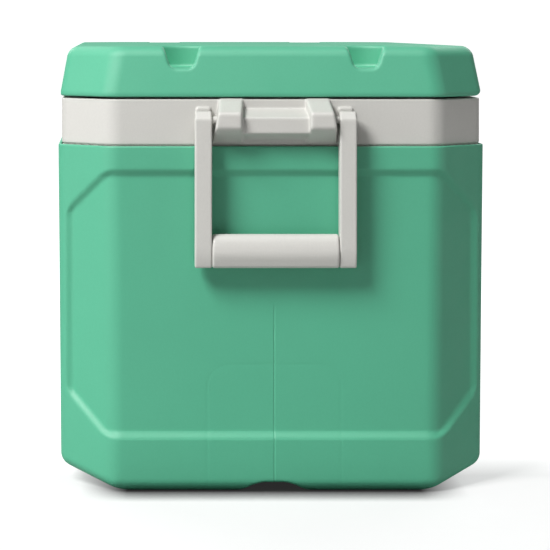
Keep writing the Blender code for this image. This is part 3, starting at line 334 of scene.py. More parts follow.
LID_SIDE = lid_high[1]
LID_SLOPE, LID_ROUND = 0.18, 10.0
LID_FOOT, LID_FOOT_ROUND, LEAN_FOOT = lid_low[2] - 0.8, 3.5, 380.0
LIP, BACK_LIP, LIP_RISE = 2.0, 6.0, 3.3  # the lid's walls are this much thicker at the foot
HINGE_Y, HINGE_Z = (value / MM for value in joints["lid_hinge"]["pos_m"][1:])
HINGE_XS = (-200.0, 0.0, 200.0)
POCKET_HALF, POCKET_FRONT, POCKET_TOP = 26.5, 184.0, 398.3  # room for each hinge
CUP_X, CUP_Y, CUP_RADIUS, CUP_FLOOR = 276.0, 88.0, 42.0, 402.7
NOTCH_HALF, NOTCH_FLARE = 10.5, 0.326  # half width at the floor, and its growth per mm of height


def lid_walls(x, y, z):
    """The lid's ends, sides and corner faces, which lean in above its foot."""
    lean = LID_SLOPE * np.maximum(0.0, z - LEAN_FOOT)
    end, side = lid_high[0] - lean, LID_SIDE - lean
    return octagon(x, y, end, side, corner_far(end, side, LID_CORNER), END_BEND, SIDE_BEND)


def lid_hollows(x, y, z):
    """Cup holders with their notches to the ends, and the hinge pockets at the back."""
    ax, ay = np.abs(x), np.abs(y)
    floor = CUP_FLOOR - z
    cup = rmax(np.hypot(ax - CUP_X, ay - CUP_Y) - CUP_RADIUS, floor, 3.0)
    width = NOTCH_HALF - NOTCH_FLARE * floor
    notch = np.maximum(rmax(np.abs(ay - CUP_Y) - width, floor, 5.0), CUP_X - ax)
    hollows = rmin(cup, notch, 3.0)
    for hinge_x in HINGE_XS:
        pocket = rmax(np.abs(x - hinge_x) - POCKET_HALF, z - POCKET_TOP, 2.0)
        hollows = np.minimum(hollows, np.maximum(pocket, POCKET_FRONT - y))
    return hollows


def lid_field(x, y, z):
    """The lid's outer skin, open below, with a rounded heel around the hinge line."""
    walls = lid_walls(x, y, z)
    shape = rmax(walls, z - lid_high[2], LID_ROUND)
    hollows = lid_hollows(x, y, z)
    heel = np.hypot(np.maximum(y - HINGE_Y, 0.0), np.maximum(HINGE_Z - z, 0.0)) - (LID_SIDE - HINGE_Y)
    solid = rmax(np.maximum(shape, heel), LID_FOOT - z, LID_FOOT_ROUND)
    solid = rmax(solid, -hollows, 2.6)
    foot = np.clip((HINGE_Z - z) / LIP_RISE, 0.0, 1.0)
    space = np.maximum(shape + WALL, walls + WALL + LIP * foot)
    space = np.maximum(space, y - LID_SIDE + WALL + BACK_LIP * foot)
    space = np.maximum(space, WALL - hollows)
    return rmax(solid, -space, 0.6)


lid_skin = mould(
    "lid_skin",
    lid_field,
    both_sides((34.0, 1.7), (166.6, 7.8), (339.1, 1.5)),
    both_sides((42.3, 7.05), (134.7, 1.65), (206.3, 1.45)),
    steps(373.1, (388.4, 0.9), (425.8, 1.3)),
)

# ------------------------------------------------------------------ collar

COLLAR_X, COLLAR_Y = 336.6, collar_high[1]
COLLAR_TOP = 373.9
MOUTH_X, MOUTH_Y, MOUTH_CORNER, MOUTH_DRAFT = 300.0, 168.0, 34.0, 0.04
SKIRT_LOW = 350.0  # foot of the mouth's rim
PIVOT_X, _, PIVOT_Z = (value / MM for value in joints["right_handle_pivot"]["pos_m"])
EAR_X, EAR_TOP, EAR_CREST, EAR_FOOT, EAR_ROOT = collar_high[0], 361.5, 374.0, 346.5, 331.7
EAR_INNER, EAR_INNER_LEAN, EAR_OUTER, EAR_OUTER_LEAN = 29.8, 0.1, 52.6, 0.169
PIN_BORE, PIN_BORE_END = 3.8, 42.0
RIB_X, RIB_TOP, RIB_CREST, RIB_FOOT, RIB_ROOT = 356.0, 357.0, 365.0, 342.0, 335.0
RIB_HALF = 33.0
PAD_X, PAD_Y, PAD_HALF_Y, PAD_Z, PAD_HALF_Z = 341.2, 67.55, 6.75, 355.25, 10.75
BRACKET_ROOT = 2.0  # the bracket starts this deep in the collar
JOINT_DEPTH = 1.8  # groove where the collar meets the shell's rim


def rounded_rectangle(x, y, half_x, half_y, corner):
    """An upright prism around Z with the given half widths and corner radius."""
    qx = np.abs(x) - (half_x - corner)
    qy = np.abs(y) - (half_y - corner)
    outside = np.hypot(np.maximum(qx, 0.0), np.maximum(qy, 0.0))
    return outside + np.minimum(np.maximum(qx, qy), 0.0) - corner


def bracket(x, y, z):
    """The two ears, the rib between them and the two stop pads of one handle."""
    ax, ay = np.abs(x), np.abs(y)
    ear = rmax(past(ax, z, EAR_X, EAR_TOP, COLLAR_X, EAR_CREST), ax - EAR_X, 2.5)
    ear = rmax(ear, past(ax, z, COLLAR_X, EAR_ROOT, EAR_X, EAR_FOOT), 2.5)
    inner_flank = EAR_INNER + EAR_INNER_LEAN * (ax - COLLAR_X) - ay
    outer_flank = ay - EAR_OUTER - EAR_OUTER_LEAN * (COLLAR_TOP - z)
    ear = rmax(ear, np.maximum(inner_flank, outer_flank), 2.2)
    bore = np.maximum(np.hypot(ax - PIVOT_X, z - PIVOT_Z) - PIN_BORE, PIN_BORE_END - ay)
    ear = rmax(ear, -bore, 0.5)
    rib = rmax(past(ax, z, RIB_X, RIB_TOP, COLLAR_X, RIB_CREST), ax - RIB_X, 1.5)
    rib = rmax(rib, past(ax, z, COLLAR_X, RIB_ROOT, RIB_X, RIB_FOOT), 1.5)
    rib = np.maximum(rib, ay - RIB_HALF)
    pad = rmax(np.abs(ay - PAD_Y) - PAD_HALF_Y, np.abs(z - PAD_Z) - PAD_HALF_Z, 2.0)
    pad = rmax(pad, ax - PAD_X, 1.2)
    shape = np.minimum(rmin(ear, rib, 1.2), pad)
    return np.maximum(shape, COLLAR_X - BRACKET_ROOT - ax)


def collar_field(x, y, z):
    """The band above the shell with its mouth, rim groove and handle brackets."""
    corner = corner_far(COLLAR_X, COLLAR_Y, COLLAR_CORNER)
    band = octagon(x, y, COLLAR_X, COLLAR_Y, corner, END_BEND, SIDE_BEND)
    solid = rmax(band, z - COLLAR_TOP, 1.3)
    solid = rmax(solid, collar_low[2] - z, 0.6)
    joint_line = (JOINT_DEPTH + band - np.abs(z - BODY_TOP)) / math.sqrt(2.0)
    solid = rmax(solid, joint_line, 0.5)
    solid = rmin(solid, bracket(x, y, z), 1.6)
    lean = (COLLAR_TOP - z) * MOUTH_DRAFT
    mouth = rounded_rectangle(x, y, MOUTH_X - lean, MOUTH_Y - lean, MOUTH_CORNER)
    skirt = np.maximum(mouth - WALL, SKIRT_LOW - z)
    space = np.maximum(np.maximum(band + WALL, z - COLLAR_TOP + WALL), -skirt)
    solid = rmax(solid, -space, 0.6)
    return rmax(solid, -mouth, 1.4)


collar_skin = mould(
    "collar_skin",
    collar_field,
    both_sides((262.7, 9.4), (331.1, 1.55), (366.3, 0.95)),
    both_sides((26.3, 4.4), (78.4, 1.15), (130.9, 5.8), (172.3, 1.5), (205.1, 1.35)),
    steps(317.9, (326.7, 1.25), (333.3, 0.6), (370.8, 1.25), (375.0, 0.6)),
)

# ------------------------------------------------------------------ bail handles

ARM_INNER, ARM_OUTER = 60.3, 76.3
ARM_BACK, ARM_FRONT = arm_low[0], arm_high[0]
HANDLE_FOOT, HEEL_TOP = arm_low[2], arm_high[2]
EYE, PIN_SEAT, PIN_SEAT_Y = 8.5, 5.2, 73.3  # radii of the arm's eye and of the pin head's seat
ARM_SHOULDER, SHOULDER_RUN = 355.5, 1.0  # the arm's front leans back to its top from this height
FOOT_LEAN, FOOT_LEAN_Z = 3.4, 225.0  # the arm's foot leans back by this much below this height
BAR_ROOT = 3.0  # the bar between the arms reaches this far into each
GRIP_LEAN, GRIP_LEAN_Z, GRIP_ROUND, GRIP_DOME = 4.2, 227.0, 28.0, 0.5
GRIP_X, GRIP_Z = (grip_high[0] + back_grip_low[0]) / 2, 230.7
GRIP_HALF_X, GRIP_HALF_Y, GRIP_TOP = grip_high[0] - GRIP_X, grip_high[1], grip_high[2]
CORE_X, CORE_Z, CORE_GAP = 5.0, 6.0, 0.3  # half widths of the bar inside the grip
SPLIT = 0.15  # half the gap between the grip's two halves
SCREW_Y, SCREW_HEAD, SCREW_SHANK, SCREW_SEAT_X = 40.0, 4.2, 2.2, 341.2


def frame_field(x, y, z):
    """Both arms of a bail and the bar between them, for the handle on +X."""
    ay = np.abs(y)
    straight = np.maximum(ARM_BACK - x, z - PIVOT_Z)
    eye = np.hypot(x - PIVOT_X, z - PIVOT_Z) - EYE
    heel = np.maximum(PIVOT_X - x, PIVOT_Z - z)
    arm = np.minimum(rmin(straight, eye, 1.0), heel)
    arm = rmax(rmax(arm, x - ARM_FRONT, 1.2), z - HEEL_TOP, 1.2)
    arm = rmax(arm, past(x, z, ARM_FRONT, ARM_SHOULDER, PIVOT_X + SHOULDER_RUN, HEEL_TOP), 1.0)
    arm = rmax(arm, past(x, z, ARM_FRONT - FOOT_LEAN, HANDLE_FOOT, ARM_FRONT, FOOT_LEAN_Z), 3.0)
    arm = rmax(arm, HANDLE_FOOT - z, 1.5)
    arm = rmax(arm, np.maximum(ARM_INNER - ay, ay - ARM_OUTER), 1.6)
    around = np.hypot(x - PIVOT_X, z - PIVOT_Z)
    arm = rmax(arm, -np.maximum(around - PIN_SEAT, PIN_SEAT_Y - ay), 0.5)
    arm = np.maximum(arm, PIN_BORE - around)
    bar = rmax(np.abs(x - GRIP_X) - CORE_X, np.abs(z - GRIP_Z) - CORE_Z, 1.0)
    bar = np.maximum(bar, ay - ARM_INNER - BAR_ROOT)
    return rmin(arm, bar, 0.2)


def grip_field(x, y, z):
    """The moulded grip for the handle on +X, before it is split into a front and a back half."""
    across, ay = np.abs(x - GRIP_X), np.abs(y)
    flank = past(across, z, GRIP_HALF_X - GRIP_LEAN, HANDLE_FOOT, GRIP_HALF_X, GRIP_LEAN_Z)
    tall = GRIP_LEAN_Z - HANDLE_FOOT
    sides = bent(across - GRIP_HALF_X, flank, GRIP_ROUND, tall / math.hypot(tall, GRIP_LEAN))
    grip = rmax(sides, GRIP_DOME * (z - GRIP_TOP), GRIP_HALF_X - 0.01)
    grip = rmax(grip, HANDLE_FOOT - z, 2.5)
    grip = rmax(grip, ay - GRIP_HALF_Y, 2.2)
    core = np.maximum(across - CORE_X - CORE_GAP, np.abs(z - GRIP_Z) - CORE_Z - CORE_GAP)
    return np.maximum(grip, -core)


def front_grip_field(x, y, z):
    """The front half, which the eye sees from the end of the chest."""
    return rmax(grip_field(x, y, z), GRIP_X + SPLIT - x, 0.4)


def back_grip_field(x, y, z):
    """The back half, with two holes sunk for the screws that hold the halves together."""
    around = np.hypot(np.abs(y) - SCREW_Y, z - GRIP_Z)
    holes = np.minimum(np.maximum(around - SCREW_HEAD, x - SCREW_SEAT_X), around - SCREW_SHANK)
    half = rmax(grip_field(x, y, z), x - GRIP_X + SPLIT, 0.4)
    return rmax(half, -holes, 0.3)


def mirror_mesh(source, name):
    """The same piece on the other end of the chest."""
    points = np.empty(len(source.data.vertices) * 3)
    source.data.vertices.foreach_get("co", points)
    quads = np.empty(len(source.data.loops), np.int32)
    source.data.loops.foreach_get("vertex_index", quads)
    return mesh_object(name, points.reshape(-1, 3) * (-1.0, 1.0, 1.0), quads.reshape(-1, 4)[:, ::-1])


frame_right_skin = mould(
    "frame_right_skin",
    frame_field,
    steps(ARM_BACK - 3.9, (ARM_FRONT + 1.0, 0.75)),
    both_sides((55.1, 5.5), (77.6, 0.75)),
    steps(HANDLE_FOOT - 1.3, (250.3, 0.9), (341.0, 4.5), (HEEL_TOP + 1.1, 0.8)),
)
grip_xs = steps(back_grip_low[0] - 1.1, (grip_high[0] + 1.1, 0.8))
grip_ys = both_sides((34.1, 3.4), (46.0, 0.7), (61.1, 1.0))
grip_zs = steps(HANDLE_FOOT - 1.1, (GRIP_TOP + 1.1, 0.85))
grip_front_right_skin = mould("grip_front_right_skin", front_grip_field, grip_xs, grip_ys, grip_zs)
grip_back_right_skin = mould("grip_back_right_skin", back_grip_field, grip_xs, grip_ys, grip_zs)
frame_left_skin = mirror_mesh(frame_right_skin, "frame_left_skin")
grip_front_left_skin = mirror_mesh(grip_front_right_skin, "grip_front_left_skin")
grip_back_left_skin = mirror_mesh(grip_back_right_skin, "grip_back_left_skin")

# ------------------------------------------------------------------ liner and lid liner

LINER_X, LINER_Y, LINER_SPREAD = 289.0, 157.0, 10.0  # half widths at the floor, and their growth
LINER_FLOOR, LINER_FILLET, LINER_WALL = 42.0, 14.0, 2.5
LINER_TOP, LINER_LIP = liner_high[2], 7.0
SUMP_START, SUMP_END, SUMP_RADIUS, BOSS_RADIUS = -280.0, -289.3, 14.5, 17.0  # around the drain


def liner_field(x, y, z):
    """The inner tub, with a lip under the collar and a boss for the drain."""
    spread = LINER_SPREAD * ((z - LINER_FLOOR) / (SKIRT_LOW - LINER_FLOOR))
    inner = rounded_rectangle(x, y, LINER_X + spread, LINER_Y + spread, MOUTH_CORNER)
    room = rmax(inner, LINER_FLOOR - z, LINER_FILLET)
    skin = np.maximum(room - LINER_WALL, z - LINER_TOP)
    layer = np.abs(z - LINER_TOP + LINER_WALL / 2) - LINER_WALL / 2
    lip = np.maximum(inner - LINER_WALL - LINER_LIP, layer)
    solid = rmin(skin, lip, 1.0)
    around = np.hypot(y, z - DRAIN_Z)
    sump = np.maximum(around - SUMP_RADIUS, x - SUMP_START)
    hole = np.maximum(around - DRAIN_RADIUS, x - DRAIN_END)
    boss = rmax(np.maximum(around - BOSS_RADIUS, x - SUMP_START), SUMP_END - LINER_WALL - x, 1.0)
    solid = rmin(solid, np.maximum(boss, -room - LINER_WALL), 1.0)
    solid = rmax(solid, -np.maximum(sump, SUMP_END - x), 1.0)
    return np.maximum(rmax(solid, -room, 0.8), -hole)


liner_skin = mould(
    "liner_skin",
    liner_field,
    both_sides((247.1, 8.5), (311.0, 1.3)),
    both_sides((20.1, 1.6), (116.7, 6.9), (178.0, 1.3)),
    steps(38.1, (76.0, 1.2), (340.0, 8.8), (350.8, 0.7)),
)

FIT_GAP = 0.3  # between the lid's skin and its liner
FLANGE_LOW, FLANGE_TOP = 375.7, 380.7
PLUG_LOW, PLUG_GAP, PLUG_DRAFT = plug_low[2], 4.0, 0.17
RING_X, RING_Y, RING_CORNER, RING_HALF, GROOVE_TOP = 305.5, 173.5, 39.5, 3.8, 377.7  # gasket groove


def plug_field(x, y, z):
    """The lid's liner: a flange inside the lid's foot, and a hollow plug that enters the mouth."""
    walls = lid_walls(x, y, z) + WALL + FIT_GAP + LIP
    plate = np.maximum(walls, y - LID_SIDE + WALL + FIT_GAP + BACK_LIP)
    for hinge_x in HINGE_XS:
        pocket = np.abs(x - hinge_x) - POCKET_HALF - WALL - FIT_GAP
        plate = np.maximum(plate, -np.maximum(pocket, POCKET_FRONT - WALL - FIT_GAP - y))
    layer = np.abs(z - (FLANGE_LOW + FLANGE_TOP) / 2) - (FLANGE_TOP - FLANGE_LOW) / 2
    flange = rmax(plate, layer, 0.8)
    gap = PLUG_GAP + PLUG_DRAFT * (lid_low[2] - z)
    plug = rounded_rectangle(x, y, MOUTH_X - gap, MOUTH_Y - gap, MOUTH_CORNER - PLUG_GAP)
    body = np.maximum(rmax(plug, PLUG_LOW - z, 5.0), z - FLANGE_TOP)
    solid = rmin(flange, body, 1.5)
    space = rmax(plug + LINER_WALL + 1.0, PLUG_LOW + LINER_WALL - z, 4.0)
    solid = rmax(solid, -space, 0.6)
    ring = rounded_rectangle(x, y, RING_X, RING_Y, RING_CORNER)
    groove = np.maximum(np.abs(ring) - RING_HALF, z - GROOVE_TOP)
    return rmax(solid, -groove, 0.4)


plug_skin = mould(
    "plug_skin",
    plug_field,
    both_sides((34.1, 4.2), (165.1, 9.4), (235.3, 4.6), (335.1, 1.35)),
    both_sides((121.7, 8.1), (201.5, 1.35)),
    steps(PLUG_LOW - 1.1, (381.9, 0.9)),
)

# ------------------------------------------------------------------ small fittings

FLAT_ANGLE, ROUNDED_ANGLE, SHARP_ANGLE = (math.radians(angle) for angle in (1.0, 42.0, 38.0))


def refined(node, width):
    """A copy of a CAD node, its flats merged, its edges rounded and its round faces shaded smooth."""
    source = frame["nodes"][node]
    bm = bmesh.new()
    bm.from_mesh(source.data)
    bmesh.ops.remove_doubles(bm, verts=bm.verts, dist=1e-6)
    bmesh.ops.dissolve_limit(bm, angle_limit=FLAT_ANGLE, verts=bm.verts, edges=bm.edges)
    edges = [edge for edge in bm.edges if edge.is_manifold and edge.calc_face_angle(0.0) > ROUNDED_ANGLE]
    bmesh.ops.bevel(
        bm,
        geom=edges,
        offset=width * MM,
        offset_type="OFFSET",
        segments=2,
        profile=0.5,
        affect="EDGES",
        clamp_overlap=True,
    )
    mesh = bpy.data.meshes.new(node + "_fine")
    bm.to_mesh(mesh)
    bm.free()
    mesh.shade_smooth()
    mesh.set_sharp_from_angle(angle=SHARP_ANGLE)
    obj = bpy.data.objects.new(node + "_fine", mesh)
    bpy.context.scene.collection.objects.link(obj)
    obj.modifiers.new("even shading", "WEIGHTED_NORMAL").keep_sharp = True
    return obj


# ------------------------------------------------------------------ materials


class Look:
    """A procedural material built up node by node around one Principled BSDF."""

    def __init__(self, name):
        self.material = bpy.data.materials.new(name)
        self.material.use_nodes = True
        self.tree = self.material.node_tree
        self.shader = self.tree.nodes["Principled BSDF"]
        self.place = self.node("ShaderNodeTexCoord").outputs["Object"]

    def node(self, kind, **settings):
        """A new node with the given settings."""
        made = self.tree.nodes.new(kind)
        for key, value in settings.items():
            setattr(made, key, value)
        return made

    def link(self, output, socket):
        self.tree.links.new(output, socket)

    def calculate(self, operation, first, second=None):
        """The result of a sum on one or two outputs, the second of which may be a plain number."""
        made = self.node("ShaderNodeMath", operation=operation)
        self.link(first, made.inputs[0])
        if isinstance(second, float):
            made.inputs[1].default_value = second
        elif second is not None:
            self.link(second, made.inputs[1])
        return made.outputs[0]

    def noise(self, scale, detail=2.0, roughness=0.5, stretch=None):
        """Noise of the given scale, in cells per metre, stretched per axis if asked."""
        place = self.place
        if stretch:
            mapping = self.node("ShaderNodeMapping")
            mapping.inputs["Scale"].default_value = stretch
            self.link(place, mapping.inputs["Vector"])
            place = mapping.outputs["Vector"]
        made = self.node("ShaderNodeTexNoise")
        made.inputs["Scale"].default_value = scale
        made.inputs["Detail"].default_value = detail
        made.inputs["Roughness"].default_value = roughness
        self.link(place, made.inputs["Vector"])
        return made.outputs["Fac"]

    def spread(self, value, low, high, start=0.3, end=0.7):
        """The value between start and end mapped to low and high, and held at them beyond."""
        made = self.node("ShaderNodeMapRange")
        for key, number in (("From Min", start), ("From Max", end), ("To Min", low), ("To Max", high)):
            made.inputs[key].default_value = number
        self.link(value, made.inputs["Value"])
        return made.outputs["Result"]

    def blend(self, factor, first, second):
        """A mix of two colours, each an output or a plain colour."""
        made = self.node("ShaderNodeMix", data_type="RGBA")
        self.link(factor, made.inputs["Factor"])
        for socket, colour in ((made.inputs[6], first), (made.inputs[7], second)):
            if isinstance(colour, tuple):
                socket.default_value = (*colour, 1.0)
            else:
                self.link(colour, socket)
        return made.outputs[2]

    def bump(self, heights):
        """Bump from (height output, depth in mm) pairs, one on top of the other."""
        normal = None
        for height, depth in heights:
            made = self.node("ShaderNodeBump")
            made.inputs["Distance"].default_value = depth * MM
            self.link(height, made.inputs["Height"])
            if normal:
                self.link(normal, made.inputs["Normal"])
            normal = made.outputs["Normal"]
        self.link(normal, self.shader.inputs["Normal"])


def tinted(colour, factor):
    """The colour made lighter or darker."""
    return tuple(min(1.0, channel * factor) for channel in colour)


FLECK_SHARE = 0.35  # how much of the fine speckle shows over the clouding


def moulded(name, colour, roughness, stipple, specular=0.5, cloud=0.05):
    """Moulded plastic: slight clouding, speckle, and a finely textured surface."""
    look = Look(name)
    clouds = look.spread(look.noise(4.5, detail=3.0, roughness=0.55), 0.0, 1.0)
    speckle = look.spread(look.noise(520.0, roughness=0.6), 0.0, 1.0)
    base = look.blend(clouds, tinted(colour, 1.0 - cloud), tinted(colour, 1.0 + cloud))
    flecked = look.blend(speckle, tinted(colour, 0.95), tinted(colour, 1.05))
    share = look.node("ShaderNodeValue").outputs[0]
    share.default_value = FLECK_SHARE
    look.link(look.blend(share, base, flecked), look.shader.inputs["Base Color"])
    worn = look.noise(23.0, detail=5.0, roughness=0.65)
    look.link(look.spread(worn, roughness - 0.06, roughness + 0.07), look.shader.inputs["Roughness"])
    look.shader.inputs["Specular IOR Level"].default_value = specular
    stipples = look.noise(1150.0, detail=3.0, roughness=0.6)
    look.bump([(look.noise(14.0), 0.08), (stipples, stipple)])
    return look.material


def rubber(name, colour, roughness):
    """Dull rubber with a little dust."""
    look = Look(name)
    dust = look.spread(look.noise(38.0, detail=4.0, roughness=0.6), 0.0, 1.0, 0.35, 0.75)
    look.link(look.blend(dust, colour, tinted(colour, 1.45)), look.shader.inputs["Base Color"])
    worn = look.noise(90.0, detail=3.0)
    look.link(look.spread(worn, roughness - 0.08, roughness + 0.06), look.shader.inputs["Roughness"])
    look.shader.inputs["Specular IOR Level"].default_value = 0.35
    look.bump([(look.noise(900.0, detail=3.0, roughness=0.65), 0.03)])
    return look.material


def foamed(name, colour):
    """Rigid foam with open cells."""
    look = Look(name)
    cells = look.node("ShaderNodeTexVoronoi")
    cells.inputs["Scale"].default_value = 700.0
    look.link(look.place, cells.inputs["Vector"])
    shade = look.spread(look.noise(12.0, detail=4.0), 0.0, 1.0)
    base = look.blend(shade, tinted(colour, 0.9), tinted(colour, 1.05))
    look.link(base, look.shader.inputs["Base Color"])
    look.link(look.spread(look.noise(60.0), 0.82, 0.95), look.shader.inputs["Roughness"])
    look.bump([(cells.outputs["Distance"], 0.4)])
    return look.material


def brushed(name, colour, roughness):
    """Steel brushed along X."""
    look = Look(name)
    lines = look.noise(60.0, detail=4.0, roughness=0.7, stretch=(2.0, 40.0, 40.0))
    blotch = look.spread(look.noise(35.0, detail=3.0), 0.0, 1.0)
    base = look.blend(blotch, tinted(colour, 0.9), tinted(colour, 1.06))
    look.link(base, look.shader.inputs["Base Color"])
    look.link(look.spread(lines, roughness - 0.07, roughness + 0.12), look.shader.inputs["Roughness"])
    look.shader.inputs["Metallic"].default_value = 1.0
    look.bump([(lines, 0.02)])
    return look.material


MINT = (0.068, 0.395, 0.235)
OFF_WHITE = (0.56, 0.55, 0.52)
LINER_WHITE = (0.66, 0.67, 0.66)
looks = {
    "mint_plastic": moulded("mint moulded plastic", MINT, 0.58, 0.03, specular=0.8),
    "white_plastic": moulded("off-white moulded plastic", OFF_WHITE, 0.44, 0.022, 0.45, cloud=0.02),
    "liner_plastic": moulded("white liner plastic", LINER_WHITE, 0.34, 0.012, cloud=0.02),
    "insulation_foam": foamed("rigid foam", (0.80, 0.72, 0.50)),
    "black_rubber": rubber("black rubber", (0.030, 0.030, 0.032), 0.72),
    "grey_rubber": rubber("grey rubber", (0.30, 0.31, 0.31), 0.66),
    "stainless_steel": brushed("brushed stainless steel", (0.62, 0.61, 0.59), 0.3),
}

# ------------------------------------------------------------------ pieces onto their bodies


def paint(obj, finish):
    obj.data.materials.clear()
    obj.data.materials.append(looks[finish])


def fit(obj, body, finish, node):
    """The piece painted, put on its body and shown in place of its CAD node."""
    paint(obj, finish)
    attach(obj, body)
    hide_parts(node)


fit(shell_skin, "chest", "mint_plastic", "outer_shell")
fit(collar_skin, "chest", "white_plastic", "rim_collar")
fit(liner_skin, "chest", "liner_plastic", "inner_liner")
fit(lid_skin, "lid", "mint_plastic", "lid_outer")
fit(plug_skin, "lid", "liner_plastic", "lid_liner")
fit(frame_left_skin, "left_handle", "white_plastic", "handle_frame_left")
fit(frame_right_skin, "right_handle", "white_plastic", "handle_frame_right")
fit(grip_front_left_skin, "left_handle", "white_plastic", "grip_front_left")
fit(grip_front_right_skin, "right_handle", "white_plastic", "grip_front_right")
fit(grip_back_left_skin, "left_handle", "white_plastic", "grip_back_left")
fit(grip_back_right_skin, "right_handle", "white_plastic", "grip_back_right")

slots = {entry["node"]: entry["material_slot"] for entry in frame["record"]["subparts"]}
bodies = frame["record"]["behaviour"]["bodies"]
body_of = {node: body for body, nodes in bodies.items() for node in nodes}
EDGES = {  # width of the rounded edges in mm, by a word in the node's name
    "screw": 0.12,
    "pin": 0.25,
    "leaf": 0.4,
    "gasket": 0.45,
    "seal": 0.3,
    "cap": 0.6,
    "tether": 0.35,
    "spout": 0.4,
    "nut": 0.6,
    "plug": 0.4,
}
for node, obj in frame["nodes"].items():
    if obj.hide_render:
        continue
    finish = slots[node]
    if finish == "insulation_foam":
        paint(obj, finish)
        continue
    words = node.split("_")
    width = next(EDGES[word] for word in EDGES if word in words)
    fit(refined(node, width), body_of[node], finish, node)

# ------------------------------------------------------------------ floor, light and camera

FLOOR_SIZE, FLOOR_DROP = 400.0, 0.0004
PAPER = ((0.33, 0.33, 0.33), (0.35, 0.35, 0.35))  # what the camera sees, under the floor's own glow
BOUNCE = (0.45, 0.45, 0.45)  # what the floor throws back on the chest
GLOW = (1.0, 1.0, 1.0, 1.0)
FLOOR_GLOW_NEAR = 0.58  # painted light: glow of the floor in front of the chest
GLOW_FALLS, GLOW_RISES = (0.15, 0.26), (0.62, 0.78)  # where the painted glow falls to that level and rises again, in metres along X
PAINTED_SHADOW_REACH, PAINTED_SHADOW_POWER, PAINTED_SHADOW_FLOOR = 0.043, 3.0, 0.04  # painted contact shadow, a dark line on the floor under the chest
PAINTED_SHADOW_Y = (0.14, 0.185)  # the painted shadow fades out sideways between these


def floor_look():
    """Pale floor that glows for the camera, with a painted soft contact shadow, a dark line where the chest stands
    on it.
    """
    pale = Look("pale floor")
    ray = pale.node("ShaderNodeLightPath").outputs["Is Camera Ray"]
    paper = pale.blend(pale.spread(pale.noise(2.0, detail=3.0), 0.0, 1.0), *PAPER)
    place = pale.node("ShaderNodeSeparateXYZ")
    pale.link(pale.place, place.inputs["Vector"])
    # painted shade: ambient occlusion darkens the floor's colour and glow near the chest
    painted_shadow = pale.node("ShaderNodeAmbientOcclusion", samples=8)
    painted_shadow.inputs["Distance"].default_value = PAINTED_SHADOW_REACH
    deeper = pale.calculate("POWER", painted_shadow.outputs["AO"], PAINTED_SHADOW_POWER)
    across = pale.calculate("ABSOLUTE", place.outputs["Y"])
    shade = pale.node("ShaderNodeMix")
    pale.link(pale.spread(across, 1.0, 0.0, *PAINTED_SHADOW_Y), shade.inputs[0])
    shade.inputs[2].default_value = 1.0
    pale.link(pale.spread(deeper, PAINTED_SHADOW_FLOOR, 1.0, 0.0, 1.0), shade.inputs[3])
    ground = pale.node("ShaderNodeVectorMath", operation="SCALE")
    pale.link(pale.blend(ray, BOUNCE, paper), ground.inputs[0])
    pale.link(shade.outputs[0], ground.inputs["Scale"])
    pale.link(ground.outputs[0], pale.shader.inputs["Base Color"])
    pale.link(pale.spread(pale.noise(30.0), 0.75, 0.85), pale.shader.inputs["Roughness"])
    pale.shader.inputs["Specular IOR Level"].default_value = 0.1
    # painted light: the floor glows fully behind the chest and far in front of it, less near it
    behind = pale.spread(place.outputs["X"], 1.0, FLOOR_GLOW_NEAR, *GLOW_FALLS)
    beyond = pale.spread(place.outputs["X"], FLOOR_GLOW_NEAR, 1.0, *GLOW_RISES)
    glow_level = pale.calculate("MAXIMUM", behind, beyond)
    glow = pale.calculate("MULTIPLY", pale.calculate("MULTIPLY", glow_level, shade.outputs[0]), ray)
    pale.shader.inputs["Emission Color"].default_value = GLOW
    pale.link(glow, pale.shader.inputs["Emission Strength"])
    return pale.material


bpy.ops.mesh.primitive_plane_add(size=FLOOR_SIZE, location=(0.0, 0.0, -FLOOR_DROP))
floor = bpy.context.object
floor.name = "floor"
floor.data.materials.append(floor_look())

AMBIENT, BACKDROP = 0.13, 3.0  # the world's strength as light and as seen by the camera
world = bpy.data.worlds.new("studio")
bpy.context.scene.world = world
world.use_nodes = True
air = world.node_tree
seen = air.nodes.new("ShaderNodeLightPath")
strength = air.nodes.new("ShaderNodeMapRange")
strength.inputs["To Min"].default_value = AMBIENT
strength.inputs["To Max"].default_value = BACKDROP
air.links.new(seen.outputs["Is Camera Ray"], strength.inputs["Value"])
air.nodes["Background"].inputs["Color"].default_value = GLOW
air.links.new(strength.outputs["Result"], air.nodes["Background"].inputs["Strength"])

MIDDLE = Vector((cad_high[0], 0.0, 0.25))  # the point that the lights aim at


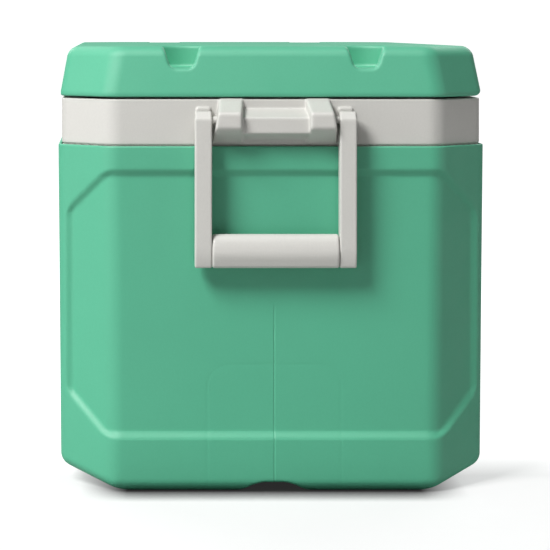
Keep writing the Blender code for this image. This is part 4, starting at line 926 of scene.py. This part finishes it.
def area_light(name, direction, distance, size, power):
    """A round lamp that stands in the given direction from the middle and faces it."""
    light = bpy.data.lights.new(name, "AREA")
    light.shape = "DISK"
    light.size = size
    light.energy = power
    lamp = bpy.data.objects.new(name, light)
    bpy.context.scene.collection.objects.link(lamp)
    along = Vector(direction).normalized()
    lamp.location = MIDDLE + along * distance
    lamp.rotation_euler = along.to_track_quat("Z", "Y").to_euler()
    lamp.visible_camera = False
    return lamp


area_light("key", (0.462, -0.522, 0.716), distance=4.0, size=1.7, power=214.0)
area_light("left fill", (0.3, -0.95, 0.1), distance=3.0, size=1.6, power=12.0)
area_light("right fill", (0.3, 0.95, 0.1), distance=3.0, size=1.6, power=11.0)
for side in (-1.0, 1.0):
    area_light("back light", (-0.75, 0.45 * side, 0.5), distance=3.5, size=1.8, power=34.0)
sheen = area_light("top sheen", (0.30, 0.0, 0.95), distance=3.0, size=1.6, power=26.0)
sheen.visible_diffuse = False  # it only shows as a soft reflection

END_PLANE = BODY_X * MM
DISTANCE, CAMERA_Y, CAMERA_Z = 2.036, -0.156, 0.441
VIEW_WIDTH = 0.5225  # metres across the frame at the end of the chest
SHIFTS = {"shift_x": 0.2991, "shift_y": -0.448}
camera_data = bpy.data.cameras.new("camera")
camera_data.sensor_width = 36.0
camera_data.lens = camera_data.sensor_width * DISTANCE / VIEW_WIDTH
camera = bpy.data.objects.new("camera", camera_data)
bpy.context.scene.collection.objects.link(camera)
camera.location = (END_PLANE + DISTANCE, CAMERA_Y, CAMERA_Z)
camera.rotation_euler = (math.radians(90.0), 0.0, math.radians(90.0))
for setting, shift in SHIFTS.items():
    # the lens is shifted only while the camera stands at its own place, so other views stay centred
    driver = camera_data.driver_add(setting).driver
    place = driver.variables.new()
    place.name = "place"
    place.type = "TRANSFORMS"
    place.targets[0].id = camera
    place.targets[0].transform_type = "LOC_X"
    driver.expression = f"{shift} if abs(place - {camera.location.x:.4f}) < 0.001 else 0.0"
bpy.context.scene.camera = camera
bpy.context.scene.view_settings.view_transform = "Standard"
